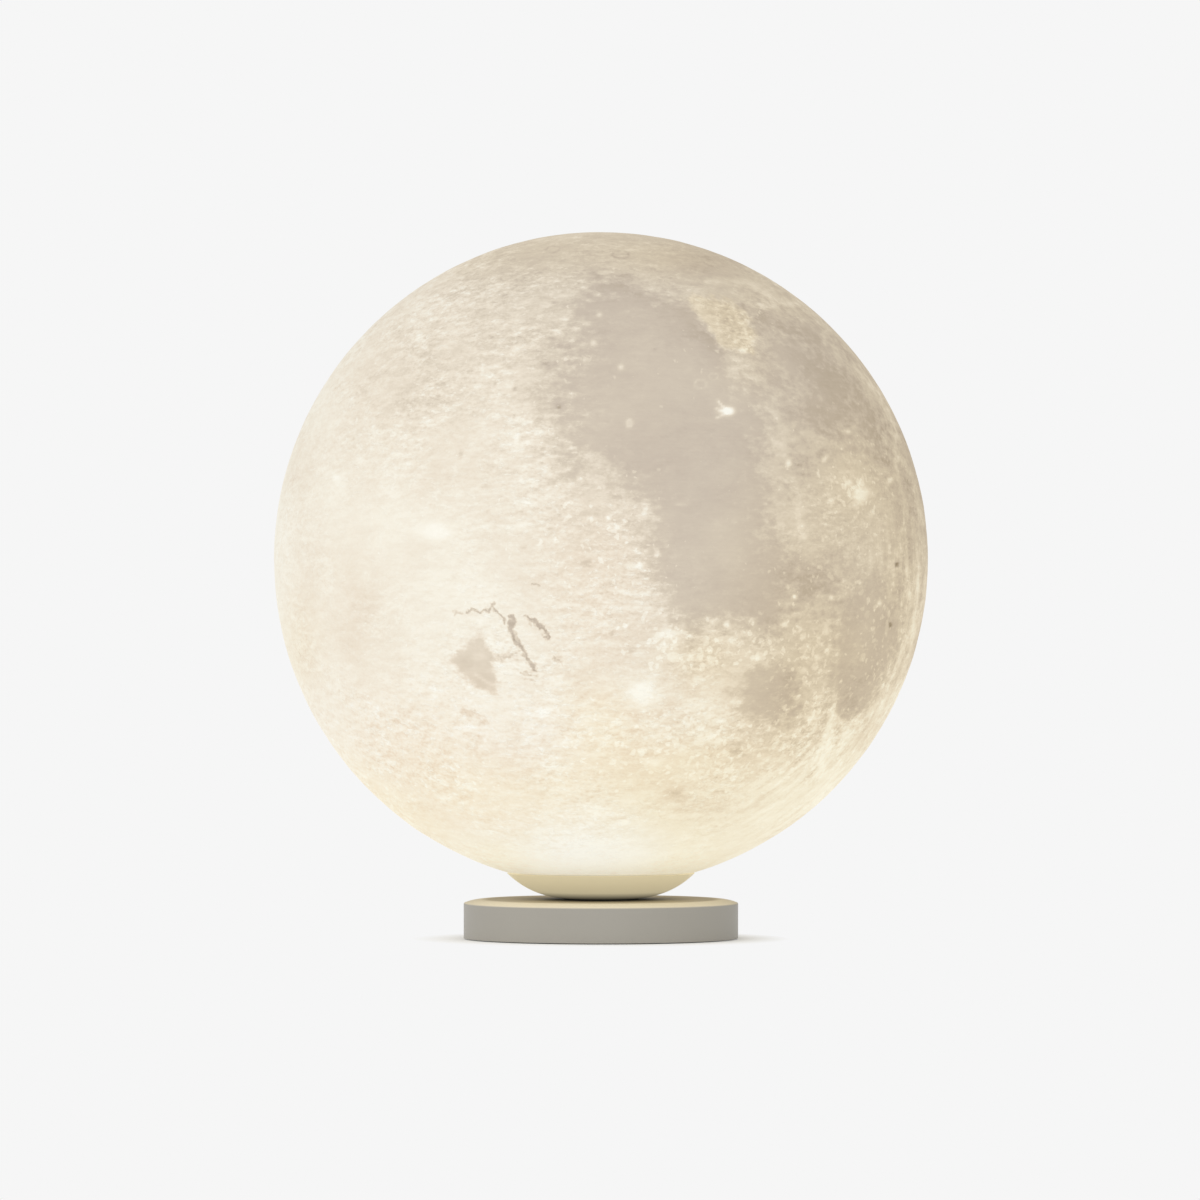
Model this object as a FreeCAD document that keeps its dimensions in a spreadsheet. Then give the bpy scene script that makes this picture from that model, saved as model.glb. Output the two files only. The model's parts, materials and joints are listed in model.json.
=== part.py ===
import FreeCAD, Part

# Moon lamp: a thin printed moon globe on a cream seat bowl and a low round base with a battery.
# Frame: origin on the table under the middle of the base, +Z up, front -Y, charging socket at +Y.
# All lengths in millimetres. Every size is a cell of the sheet "Size"; heights and radii that
# follow from them are formulas of the sheet "Place".

import math
import os

import Sketcher
from FreeCAD import Placement, Rotation, Vector

SIZES = {
    # globe and its neck ring
    "globe_radius": 100.0,
    "globe_wall": 1.6,
    "glue_gap": 0.1,
    "neck_height": 9.0,
    "neck_flange_radius": 33.0,
    "neck_flange_thick": 1.2,
    # seat bowl
    "rim_radius": 28.7,
    "bowl_depth": 7.7,
    "bowl_flat_radius": 10.0,
    "bowl_wall": 2.0,
    "seam_gap": 0.3,
    "seat_boss_height": 4.0,
    # collar plate, spigot and spring clips
    "plate_thick": 1.5,
    "plate_inset": 2.7,
    "plate_clear": 0.1,
    "seat_width": 2.0,
    "neck_clear": 0.3,
    "spigot_wall": 1.5,
    "spigot_height": 8.0,
    "clip_width": 5.0,
    "clip_thick": 0.4,
    "clip_slot_width": 6.4,
    "clip_foot_length": 4.2,
    "clip_height": 7.6,
    "clip_bulge_height": 4.8,
    "clip_bulge_rise": 2.2,
    "clip_running_gap": 0.2,
    "rivet_inset": 2.95,
    "rivet_radius": 1.0,
    "rivet_head_radius": 1.7,
    "rivet_head_thick": 0.7,
    "rivet_tail_radius": 1.5,
    "rivet_tail_thick": 0.5,
    # light source
    "column_height": 29.4,
    "column_radius": 8.0,
    "column_bore_radius": 6.5,
    "column_foot_clear": 0.75,
    "column_head_radius": 13.0,
    "column_flange_thick": 1.5,
    "spreader_thick": 1.5,
    "spreader_bore_radius": 3.0,
    "dome_clear": 1.5,
    "dome_wall": 1.2,
    "dome_skirt": 3.5,
    "dome_rise": 12.0,
    "led_board_thick": 1.2,
    "led_board_clear": 0.4,
    "chip_length": 3.5,
    "chip_width": 2.8,
    "chip_thick": 0.7,
    "outer_chip_circle": 16.0,
    "inner_chip_circle": 6.0,
    "outer_chip_count": 12,
    "inner_chip_count": 4,
    # base housing
    "housing_radius": 42.0,
    "housing_wall": 1.6,
    "housing_edge": 0.5,
    "crown_rise": 1.1,
    "crown_width": 5.5,
    "wire_hole_radius": 3.0,
    # cover, foot and weight
    "foot_proud": 0.3,
    "foot_groove": 0.7,
    "foot_inset": 4.4,
    "foot_width": 4.0,
    "foot_clear": 0.1,
    "cover_thick": 2.0,
    "cover_clear": 0.3,
    "ballast_clear": 0.5,
    "ballast_width": 6.8,
    "ballast_height": 5.0,
    "ballast_board_gap": 1.0,
    # gasket and grommet
    "gasket_radius": 11.5,
    "gasket_thick": 0.3,
    "grommet_clear": 0.1,
    "grommet_bore_radius": 1.9,
    "grommet_flange_radius": 3.55,
    "grommet_flange_thick": 0.7,
    "grommet_proud": 0.6,
    # battery
    "battery_length": 40.0,
    "battery_width": 30.0,
    "battery_thick": 4.0,
    "battery_shift": -3.0,
    "pad_thick": 0.5,
    "pad_margin": 2.0,
    "tab_length": 24.0,
    "tab_width": 2.5,
    "tab_thick": 3.2,
    "battery_lead_pitch": 2.5,
    "battery_plug_side": -10.0,
    "plug_width": 7.5,
    "plug_depth": 5.5,
    "plug_height": 3.8,
    # wiring
    "wire_radius": 0.6,
    "wire_spread": 0.8,
    "wire_bend": 1.5,
    "wire_room": 2.6,
    "wire_pad_depth": 3.0,
    # control board and what is on it
    "board_gap": 0.2,
    "board_thick": 1.0,
    "board_front": 20.0,
    "board_half_width": 24.0,
    "board_clear": 2.4,
    "board_screw_side": 19.0,
    "board_screw_depth": 4.0,
    "board_grid": 0.5,
    "port_width": 8.94,
    "port_height": 3.26,
    "port_length": 7.35,
    "port_shell": 0.3,
    "port_corner": 1.4,
    "port_recess": 0.25,
    "port_clear": 0.2,
    "tongue_width": 6.69,
    "tongue_thick": 0.7,
    "tongue_recess": 0.9,
    "tongue_block": 2.0,
    # button, switch and status light
    "button_turn": 25.0,
    "button_radius": 2.3,
    "button_clear": 0.3,
    "button_proud": 0.8,
    "button_travel": 0.4,
    "button_edge": 0.4,
    "button_flange_width": 7.0,
    "button_flange_thick": 0.9,
    "button_flange_clear": 0.5,
    "switch_width": 4.5,
    "switch_depth": 3.3,
    "switch_gap": 1.8,
    "plunger_radius": 1.1,
    "plunger_clear": 0.3,
    "plunger_tail": 0.8,
    "light_radius": 1.0,
    "light_clear": 0.1,
    "light_proud": 0.1,
    "light_length": 4.6,
    # screws: the seat and cover screws share their bearing, the collar screws lie between them
    "screw_count": 3,
    "thread_clear": 0.05,
    "shank_clear": 0.15,
    "seat_screw_circle": 6.0,
    "seat_screw_radius": 1.25,
    "seat_boss_radius": 2.4,
    "collar_screw_inset": 4.0,
    "collar_screw_radius": 1.25,
    "collar_screw_bite": 3.2,
    "pan_head_radius": 2.25,
    "pan_head_thick": 1.5,
    "recess_arm": 1.3,
    "recess_width": 0.5,
    "recess_depth": 0.6,
    "cover_screw_inset": 13.0,
    "cover_screw_radius": 1.5,
    "cover_head_radius": 3.0,
    "cover_head_thick": 1.5,
    "cover_screw_bite": 5.0,
    "cover_boss_radius": 3.0,
    "small_screw_radius": 1.0,
    "small_head_radius": 1.9,
    "small_head_thick": 1.0,
    "small_recess_arm": 1.0,
    "small_screw_bite": 3.0,
    "small_boss_radius": 2.2,
    "led_screw_circle": 10.6,
    "led_screw_bite": 1.3,
}

PLACES = {
    # heights, from the table up
    "housing_bottom": "Size.foot_proud",
    "foot_top": "housing_bottom + Size.foot_groove",
    "cover_top": "housing_bottom + Size.cover_thick",
    "battery_bottom": "cover_top + Size.pad_thick",
    "battery_top": "battery_bottom + Size.battery_thick",
    "ceiling": "battery_top + Size.wire_room",
    "housing_top": "ceiling + Size.housing_wall",
    "crown_top": "housing_top + Size.crown_rise",
    "wire_level": "(battery_top + ceiling - Size.grommet_flange_thick) / 2",
    "board_bottom": "cover_top + Size.small_head_thick + Size.board_gap",
    "board_top": "board_bottom + Size.board_thick",
    "port_axis": "board_top + Size.port_height / 2",
    "bowl_bottom": "crown_top + Size.gasket_thick",
    "bowl_floor": "bowl_bottom + Size.bowl_wall",
    "rim": "bowl_bottom + Size.bowl_depth",
    "seat": "rim + Size.seam_gap",
    "plate_bottom": "seat - Size.plate_thick",
    "spigot_top": "seat + Size.spigot_height",
    "globe_centre": "seat + sqrt(Size.globe_radius ^ 2 - Size.rim_radius ^ 2)",
    "column_top": "seat + Size.column_height",
    "spreader_top": "column_top + Size.spreader_thick",
    "led_board_top": "spreader_top + Size.led_board_thick",
    "dome_edge": "spreader_top + Size.dome_skirt",
    "dome_top": "dome_edge + Size.dome_rise",
    # radii from the middle axis
    "globe_inner": "Size.globe_radius - Size.globe_wall",
    "plate_radius": "Size.rim_radius - Size.plate_inset",
    "ledge_radius": "plate_radius + Size.plate_clear",
    "neck_bore": "plate_radius - Size.seat_width",
    "neck_back": "globe_inner - Size.glue_gap",
    "globe_bore": "plate_radius + Size.glue_gap",
    "spigot_outer": "neck_bore - Size.neck_clear",
    "spigot_inner": "spigot_outer - Size.spigot_wall",
    "clip_back": "(spigot_outer + spigot_inner) / 2",
    "clip_foot": "clip_back - Size.clip_foot_length",
    "rivet_circle": "clip_back - Size.rivet_inset",
    "column_foot_radius": "clip_foot - Size.column_foot_clear",
    "collar_screw_circle": "column_foot_radius - Size.collar_screw_inset",
    "dome_radius": "neck_bore - Size.dome_clear",
    "led_board_radius": "dome_radius - Size.dome_wall - Size.led_board_clear",
    "housing_inner": "Size.housing_radius - Size.housing_wall",
    "cover_radius": "housing_inner - Size.cover_clear",
    "foot_outer": "Size.housing_radius - Size.foot_inset",
    "foot_inner": "foot_outer - Size.foot_width",
    "ballast_outer": "housing_inner - Size.ballast_clear",
    "ballast_inner": "ballast_outer - Size.ballast_width",
    "board_radius": "housing_inner - Size.board_clear",
    "cover_screw_circle": "Size.housing_radius - Size.cover_screw_inset",
    "crown_flat": "Size.housing_radius - Size.crown_width",
    # arcs of the crown's shoulder, of the bowl and of the diffuser
    "crown_arc": "((Size.housing_radius - crown_flat) ^ 2 + Size.crown_rise ^ 2)"
                 " / (2 * Size.crown_rise)",
    "bowl_arc": "((Size.rim_radius - Size.bowl_flat_radius) ^ 2 + Size.bowl_depth ^ 2)"
                " / (2 * Size.bowl_depth)",
    "bowl_inner_arc": "bowl_arc - Size.bowl_wall",
    "ledge_corner": "Size.bowl_flat_radius + sqrt(bowl_inner_arc ^ 2"
                    " - (bowl_bottom + bowl_arc - plate_bottom) ^ 2)",
    "dome_arc": "(dome_radius ^ 2 + Size.dome_rise ^ 2) / (2 * Size.dome_rise)",
    # distances from the axis to the back, along the socket, the button or the light
    "port_front": "Size.housing_radius - Size.port_recess",
    "tongue_front": "port_front - Size.tongue_recess",
    "port_back": "port_front - Size.port_length",
    "button_front": "Size.housing_radius + Size.button_proud",
    "flange_front": "housing_inner - Size.button_flange_clear",
    "button_back": "flange_front - Size.button_flange_thick",
    "switch_front": "button_back - Size.switch_gap",
    "battery_back": "Size.battery_shift + Size.battery_width / 2",
    "tab_back": "battery_back + Size.tab_width",
    "screw_row": "Size.board_front + Size.board_screw_depth",
    "wire_pad": "Size.board_front + Size.wire_pad_depth",
}

CLOSE = 1e-6  # closer than this, two lengths or two volumes count as the same

doc = FreeCAD.newDocument("MoonLamp")
pieces = []


def fill_sheet(title, rows):
    """A sheet with a name and a value in each row, the value under the name's alias."""
    sheet = doc.addObject("Spreadsheet::Sheet", title)
    for row, (name, content) in enumerate(rows.items(), start=1):
        text = content if isinstance(content, str) else str(content)
        sheet.set(f"A{row}", name)
        sheet.set(f"B{row}", f"={text}" if isinstance(content, str) else text)
        sheet.setAlias(f"B{row}", name)
    doc.recompute()
    return sheet


size_sheet = fill_sheet("Size", SIZES)
place_sheet = fill_sheet("Place", PLACES)


def value(expression):
    """The number that an expression over the sheets has now."""
    return float(place_sheet.evalExpression(expression))


# ---------------------------------------------------------------- drawing helpers

def new_body(label):
    body = doc.addObject("PartDesign::Body", label)
    body.Label = label
    pieces.append(body)
    return body


def new_sketch(body, name, plane, offset="0", turn=None, out=None):
    """Sketch on an origin plane of its body, shifted along the plane's normal.

    With turn and out, the sketch stands on the XZ plane turned about the Z axis, and lies
    the distance out from that axis.
    """
    sketch = body.newObject("Sketcher::SketchObject", name)
    support = next(item for item in body.Origin.OriginFeatures if item.Role == plane)
    sketch.AttachmentSupport = [(support, "")]
    sketch.MapMode = "FlatFace"
    if turn is None:
        sketch.setExpression(".AttachmentOffset.Base.z", offset)
        return sketch
    sketch.AttachmentOffset = Placement(Vector(0, 0, 0), Rotation(Vector(0, 1, 0), value(turn)))
    sketch.setExpression(".AttachmentOffset.Rotation.Angle", f"({turn}) * 1 deg")
    sketch.setExpression(".AttachmentOffset.Base.x", f"-({out}) * sin(({turn}) * 1 deg)")
    sketch.setExpression(".AttachmentOffset.Base.z", f"-({out}) * cos(({turn}) * 1 deg)")
    return sketch


def pin(sketch, edge, point, across, along):
    """Fix one point of an edge at the coordinates given by two expressions."""
    for kind, axis, expression in (("DistanceX", -2, across), ("DistanceY", -1, along)):
        number = value(expression)
        if abs(number) < CLOSE:
            sketch.addConstraint(Sketcher.Constraint("PointOnObject", edge, point, axis))
            continue
        index = sketch.addConstraint(Sketcher.Constraint(kind, -1, 1, edge, point, number))
        sketch.setExpression(f"Constraints[{index}]", expression)


def arc_between(start, end, radius, side):
    """Arc under half a turn; its centre is left of the way from start to end when side is 1."""
    chord = end - start
    middle = (start + end) * 0.5
    height = math.sqrt(max(radius ** 2 - (chord.Length / 2) ** 2, 0))
    centre = middle + Vector(-chord.y, chord.x, 0).normalize() * height * side
    first, last = (start, end) if side > 0 else (end, start)
    angles = [math.atan2(spot.y - centre.y, spot.x - centre.x) for spot in (first, last)]
    return Part.ArcOfCircle(Part.Circle(centre, Vector(0, 0, 1), radius), *angles)


def draw_outline(sketch, corners, closed=True):
    """Outline through corners, each (x, y); (x, y, radius, side) starts an arc to the next."""
    spots = [Vector(value(corner[0]), value(corner[1]), 0) for corner in corners]
    count = len(corners) if closed else len(corners) - 1
    ends = []
    for number in range(count):
        corner = corners[number]
        start, end = spots[number], spots[(number + 1) % len(spots)]
        if len(corner) == 2:
            edge = sketch.addGeometry(Part.LineSegment(start, end), False)
            first, last = 1, 2
        else:
            radius, side = corner[2:]
            edge = sketch.addGeometry(arc_between(start, end, value(radius), side), False)
            index = sketch.addConstraint(Sketcher.Constraint("Radius", edge, value(radius)))
            sketch.setExpression(f"Constraints[{index}]", radius)
            first, last = (1, 2) if side > 0 else (2, 1)
        pin(sketch, edge, first, corner[0], corner[1])
        ends.append((edge, first, last))
    for number in range(count if closed else count - 1):
        edge, _, last = ends[number]
        following, first, _ = ends[(number + 1) % count]
        sketch.addConstraint(Sketcher.Constraint("Coincident", edge, last, following, first))
    if not closed:
        pin(sketch, ends[-1][0], ends[-1][2], *corners[-1])


def draw_circle(sketch, x, y, radius):
    circle = Part.Circle(Vector(value(x), value(y), 0), Vector(0, 0, 1), value(radius))
    edge = sketch.addGeometry(circle, False)
    pin(sketch, edge, 3, x, y)
    index = sketch.addConstraint(Sketcher.Constraint("Radius", edge, value(radius)))
    sketch.setExpression(f"Constraints[{index}]", radius)


def rectangle(left, right, low, high):
    return [(left, low), (right, low), (right, high), (left, high)]


def centred_rectangle(width, height, x="0", y="0"):
    return rectangle(f"{x} - ({width}) / 2", f"{x} + ({width}) / 2",
                     f"{y} - ({height}) / 2", f"{y} + ({height}) / 2")


def rounded_rectangle(width, height, corner, y):
    """Rectangle about (0, y) with round corners, as corners and arcs for draw_outline."""
    side, inner = f"({width}) / 2", f"(({width}) / 2 - ({corner}))"
    low, high = f"{y} - ({height}) / 2", f"{y} + ({height}) / 2"
    return [(f"-{inner}", low), (inner, low, corner, 1),
            (side, f"{low} + {corner}"), (side, f"{high} - {corner}", corner, 1),
            (inner, high), (f"-{inner}", high, corner, 1),
            (f"-{side}", f"{high} - {corner}"), (f"-{side}", f"{low} + {corner}", corner, 1)]


def plus_sign(x, y, arm, width):
    """The twelve corners of a cross recess about (x, y)."""
    near, far = f"({width})", f"({arm})"
    steps = [(far, near), (near, near), (near, far)]
    signs = [(1, 1), (-1, 1), (-1, -1), (1, -1)]
    corners = []
    for number, (across, along) in enumerate(signs):
        ordered = steps if number % 2 == 0 else steps[::-1]
        for step in ordered:
            corners.append((f"{x} + {across} * {step[0]}", f"{y} + {along} * {step[1]}"))
    return corners


# ---------------------------------------------------------------- feature helpers

def finish_feature(body, feature, adds):
    """Make the feature the tip, recompute and see that it really added or removed something."""
    body.Tip = feature
    doc.recompute()
    base = feature.BaseFeature
    change = feature.Shape.Volume - (base.Shape.Volume if base else 0.0)
    if (change < CLOSE) if adds else (change > -CLOSE):
        raise RuntimeError(f"{body.Label}: {feature.Label} changes the volume by {change:.6f}")
    return feature


def pad(body, name, sketch, length, up=True):
    """Pad along the sketch's normal, or against it where up is false."""
    feature = body.newObject("PartDesign::Pad", name)
    feature.Profile = (sketch, [""])
    feature.Reversed = not up
    feature.setExpression("Length", length)
    sketch.Visibility = False
    return finish_feature(body, feature, True)


def pocket(body, name, sketch, length, up=False):
    """Pocket against the sketch's normal, or along it where up is true."""
    feature = body.newObject("PartDesign::Pocket", name)
    feature.Profile = (sketch, [""])
    feature.Reversed = up
    feature.setExpression("Length", length)
    sketch.Visibility = False
    return finish_feature(body, feature, False)


def revolve(body, name, corners):
    """Full turn of an outline of (radius, height) corners about the Z axis."""
    sketch = new_sketch(body, f"{name}_sketch", "XZ_Plane")
    draw_outline(sketch, corners)
    feature = body.newObject("PartDesign::Revolution", name)
    feature.Profile = (sketch, [""])
    feature.ReferenceAxis = (sketch, ["V_Axis"])
    feature.Angle = 360
    return finish_feature(body, feature, True)


def post(body, name, x, y, radius, bottom, height):
    sketch = new_sketch(body, f"{name}_sketch", "XY_Plane", bottom)
    draw_circle(sketch, x, y, radius)
    return pad(body, name, sketch, height)


def drill(body, name, x, y, radius, bottom, height):
    sketch = new_sketch(body, f"{name}_sketch", "XY_Plane", bottom)
    draw_circle(sketch, x, y, radius)
    return pocket(body, name, sketch, height, up=True)


def block(body, name, corners, bottom, height):
    sketch = new_sketch(body, f"{name}_sketch", "XY_Plane", bottom)
    draw_outline(sketch, corners)
    return pad(body, name, sketch, height)


def cutout(body, name, corners, bottom, height):
    sketch = new_sketch(body, f"{name}_sketch", "XY_Plane", bottom)
    draw_outline(sketch, corners)
    return pocket(body, name, sketch, height, up=True)


def repeat(body, name, features, count, adds):
    """Copies of features spaced evenly round the Z axis."""
    axis = next(item for item in body.Origin.OriginFeatures if item.Role == "Z_Axis")
    pattern = body.newObject("PartDesign::PolarPattern", name)
    pattern.Originals = features
    pattern.Axis = (axis, [""])
    pattern.Angle = 360
    pattern.setExpression("Occurrences", count)
    return finish_feature(body, pattern, adds)


def round_edges(body, name, radius, chosen):
    """Fillet of the tip's edges for which chosen(edge) is true."""
    base = body.Tip
    names = [f"Edge{number}" for number, edge in enumerate(base.Shape.Edges, start=1)
             if chosen(edge)]
    if not names:
        raise RuntimeError(f"{body.Label}: no edge for {name}")
    feature = body.newObject("PartDesign::Fillet", name)
    feature.Base = (base, names)
    feature.setExpression("Radius", radius)
    return finish_feature(body, feature, False)


def turn_about_axis(body, angle):
    """Turn a body modelled towards +Y about the Z axis, to the bearing it has on the lamp."""
    body.Placement = Placement(Vector(0, 0, 0), Rotation(Vector(0, 0, 1), value(angle)))
    body.setExpression(".Placement.Rotation.Angle", f"({angle}) * 1 deg")


def primitive(kind, label, sizes, base):
    """A Part box or cylinder with its sizes and its base point bound to expressions."""
    item = doc.addObject(f"Part::{kind}", label)
    item.Label = label
    for name, expression in sizes.items():
        item.setExpression(name, expression)
    for name, expression in zip("xyz", base):
        item.setExpression(f"Placement.Base.{name}", expression)
    pieces.append(item)
    return item


# ---------------------------------------------------------------- globe

def moon_globe():
    """Thin sphere, open where it meets the seat bowl."""
    body = new_body("moon_globe")
    revolve(body, "shell", [
        ("Place.globe_bore", "Place.seat"),
        ("Size.rim_radius", "Place.seat", "Size.globe_radius", 1),
        ("0", "Place.globe_centre + Size.globe_radius"),
        ("0", "Place.globe_centre + Place.globe_inner", "Place.globe_inner", -1),
        ("Place.globe_bore",
         "Place.globe_centre - sqrt(Place.globe_inner ^ 2 - Place.globe_bore ^ 2)"),
    ])


def neck_ring():
    """Ring bonded into the opening; its flange lies on the inside of the shell."""
    body = new_body("neck_ring")
    flange_low = "Place.globe_centre - sqrt(Place.neck_back ^ 2 - Size.neck_flange_radius ^ 2)"
    flange_high = f"{flange_low} + Size.neck_flange_thick"
    revolve(body, "ring", [
        ("Place.neck_bore", "Place.seat"),
        ("Place.plate_radius", "Place.seat"),
        ("Place.plate_radius",
         "Place.globe_centre - sqrt(Place.neck_back ^ 2 - Place.plate_radius ^ 2)",
         "Place.neck_back", 1),
        ("Size.neck_flange_radius", flange_low),
        ("Size.neck_flange_radius", flange_high),
        ("Place.plate_radius", flange_high),
        ("Place.plate_radius", "Place.seat + Size.neck_height"),
        ("Place.neck_bore", "Place.seat + Size.neck_height"),
    ])


# ---------------------------------------------------------------- seat

def seat_bowl():
    """Flat-bottomed bowl with a ledge for the plate and bosses for the screws."""
    body = new_body("seat_bowl")
    revolve(body, "wall", [
        ("0", "Place.bowl_bottom"),
        ("Size.bowl_flat_radius", "Place.bowl_bottom", "Place.bowl_arc", 1),
        ("Size.rim_radius", "Place.rim"),
        ("Place.ledge_radius", "Place.rim"),
        ("Place.ledge_radius", "Place.plate_bottom"),
        ("Place.ledge_corner", "Place.plate_bottom", "Place.bowl_inner_arc", -1),
        ("Size.bowl_flat_radius", "Place.bowl_floor"),
        ("0", "Place.bowl_floor"),
    ])
    seat_boss = post(body, "seat_boss", "0", "-Size.seat_screw_circle", "Size.seat_boss_radius",
                     "Place.bowl_floor", "Size.seat_boss_height")
    repeat(body, "seat_bosses", [seat_boss], "Size.screw_count", True)
    collar_boss = post(body, "collar_boss", "0", "Place.collar_screw_circle",
                       "Size.seat_boss_radius", "Place.bowl_floor",
                       "Place.plate_bottom - Place.bowl_floor")
    repeat(body, "collar_bosses", [collar_boss], "Size.screw_count", True)
    drill(body, "wire_hole", "0", "0", "Size.wire_hole_radius", "Place.bowl_bottom",
          "Size.bowl_wall")
    seat_hole = drill(body, "seat_hole", "0", "-Size.seat_screw_circle",
                      "Size.seat_screw_radius + Size.thread_clear", "Place.bowl_bottom",
                      "Size.bowl_wall + Size.seat_boss_height")
    repeat(body, "seat_holes", [seat_hole], "Size.screw_count", False)
    bite = "(Size.collar_screw_bite + Size.thread_clear)"
    collar_hole = drill(body, "collar_hole", "0", "Place.collar_screw_circle",
                        "Size.collar_screw_radius + Size.thread_clear",
                        f"Place.plate_bottom - {bite}", bite)
    repeat(body, "collar_holes", [collar_hole], "Size.screw_count", False)


def collar_plate():
    """Plate in the bowl's mouth, with the slotted spigot that centres the neck ring."""
    body = new_body("collar_plate")
    revolve(body, "disc", [
        ("Size.column_bore_radius", "Place.plate_bottom"),
        ("Place.plate_radius", "Place.plate_bottom"),
        ("Place.plate_radius", "Place.seat"),
        ("Place.spigot_outer", "Place.seat"),
        ("Place.spigot_outer", "Place.spigot_top"),
        ("Place.spigot_inner", "Place.spigot_top"),
        ("Place.spigot_inner", "Place.seat"),
        ("Size.column_bore_radius", "Place.seat"),
    ])
    slot = cutout(body, "clip_slot", rectangle(
        "Place.spigot_inner - Size.spigot_wall", "Place.spigot_outer + Size.spigot_wall",
        "-Size.clip_slot_width / 2", "Size.clip_slot_width / 2"),
        "Place.seat", "Size.spigot_height")
    repeat(body, "clip_slots", [slot], "Size.screw_count", False)
    screw_hole = drill(body, "screw_hole", "0", "Place.collar_screw_circle",
                       "Size.collar_screw_radius + Size.shank_clear", "Place.plate_bottom",
                       "Size.plate_thick")
    repeat(body, "screw_holes", [screw_hole], "Size.screw_count", False)
    rivet_hole = drill(body, "rivet_hole", "Place.rivet_circle", "0",
                       "Size.rivet_radius + Size.thread_clear", "Place.plate_bottom",
                       "Size.plate_thick")
    repeat(body, "rivet_holes", [rivet_hole], "Size.screw_count", False)


def spring_clips():
    """Leaf springs in the spigot's slots, bulging out towards the neck ring."""
    body = new_body("spring_clips")
    sketch = new_sketch(body, "leaf_sketch", "XZ_Plane")
    outside = "Place.clip_back"
    inside = f"{outside} - Size.clip_thick"
    peak = "Place.neck_bore - Size.clip_running_gap"
    middle = "Place.seat + Size.clip_bulge_height"
    foot = "Place.clip_foot"
    draw_outline(sketch, [
        (foot, "Place.seat"),
        (outside, "Place.seat"),
        (outside, f"{middle} - Size.clip_bulge_rise"),
        (peak, middle),
        (outside, f"{middle} + Size.clip_bulge_rise"),
        (outside, "Place.seat + Size.clip_height"),
        (inside, "Place.seat + Size.clip_height"),
        (inside, f"{middle} + Size.clip_bulge_rise - Size.clip_thick / 4"),
        (f"{peak} - Size.clip_thick * 1.1", middle),
        (inside, f"{middle} - Size.clip_bulge_rise + Size.clip_thick / 4"),
        (inside, "Place.seat + Size.clip_thick"),
        (foot, "Place.seat + Size.clip_thick"),
    ])
    leaf = body.newObject("PartDesign::Pad", "leaf")
    leaf.Profile = (sketch, [""])
    leaf.SideType = "Symmetric"
    leaf.setExpression("Length", "Size.clip_width")
    finish_feature(body, leaf, True)
    hole = drill(body, "rivet_hole", "Place.rivet_circle", "0",
                 "Size.rivet_radius + Size.thread_clear", "Place.seat", "Size.clip_thick")
    repeat(body, "leaves", [leaf, hole], "Size.screw_count", True)


def clip_rivets():
    """Rivets through the clips' feet and the plate."""
    body = new_body("clip_rivets")
    clip_top = "Place.seat + Size.clip_thick"
    head = post(body, "head", "Place.rivet_circle", "0", "Size.rivet_head_radius", clip_top,
                "Size.rivet_head_thick")
    shank = post(body, "shank", "Place.rivet_circle", "0", "Size.rivet_radius",
                 "Place.plate_bottom", "Size.plate_thick + Size.clip_thick")
    tail = post(body, "tail", "Place.rivet_circle", "0", "Size.rivet_tail_radius",
                "Place.plate_bottom - Size.rivet_tail_thick", "Size.rivet_tail_thick")
    repeat(body, "rivets", [head, shank, tail], "Size.screw_count", True)


def pan_screws(label, x, y, head_level, upright, sizes, count=None):
    """Pan-head screws with a cross recess.

    head_level is the plane under the head; an upright screw has its head above that plane.
    sizes holds the radii and lengths of head, shank and recess.
    """
    body = new_body(label)
    head_bottom = head_level if upright else f"{head_level} - {sizes['head_thick']}"
    shank_bottom = f"{head_level} - ({sizes['length']})" if upright else head_level
    recess_bottom = (f"{head_level} + {sizes['head_thick']} - Size.recess_depth" if upright
                     else head_bottom)
    head = post(body, "head", x, y, sizes["head_radius"], head_bottom, sizes["head_thick"])
    shank = post(body, "shank", x, y, sizes["radius"], shank_bottom, sizes["length"])
    recess = cutout(body, "recess", plus_sign(x, y, sizes["arm"], "Size.recess_width / 2"),
                    recess_bottom, "Size.recess_depth")
    if count:
        repeat(body, "screws", [head, shank, recess], count, True)
    return body


PAN_SCREW = {"head_radius": "Size.pan_head_radius", "head_thick": "Size.pan_head_thick",
             "arm": "Size.recess_arm"}
SMALL_SCREW = {"head_radius": "Size.small_head_radius", "head_thick": "Size.small_head_thick",
               "radius": "Size.small_screw_radius", "arm": "Size.small_recess_arm"}


def collar_screws():
    """Screws through the light post's foot and the plate into the bowl."""
    sizes = dict(PAN_SCREW, radius="Size.collar_screw_radius",
                 length="Size.column_flange_thick + Size.plate_thick + Size.collar_screw_bite")
    pan_screws("collar_screws", "0", "Place.collar_screw_circle",
               "Place.seat + Size.column_flange_thick", True, sizes, "Size.screw_count")


def seat_screws():
    """Screws from inside the base, up into the bowl."""
    sizes = dict(PAN_SCREW, radius="Size.seat_screw_radius",
                 length="Place.bowl_floor + Size.seat_boss_height"
                        " - Size.seat_screw_radius - Place.ceiling")
    pan_screws("seat_screws", "0", "-Size.seat_screw_circle", "Place.ceiling", False, sizes,
               "Size.screw_count")


def seat_gasket():
    """Black rubber washer between the bowl and the base."""
    body = new_body("seat_gasket")
    post(body, "washer", "0", "0", "Size.gasket_radius", "Place.crown_top",
         "Size.gasket_thick")
    drill(body, "wire_hole", "0", "0", "Size.wire_hole_radius", "Place.crown_top",
          "Size.gasket_thick")
    hole = drill(body, "seat_hole", "0", "-Size.seat_screw_circle",
                 "Size.seat_screw_radius + Size.shank_clear", "Place.crown_top",
                 "Size.gasket_thick")
    repeat(body, "seat_holes", [hole], "Size.screw_count", False)


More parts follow.
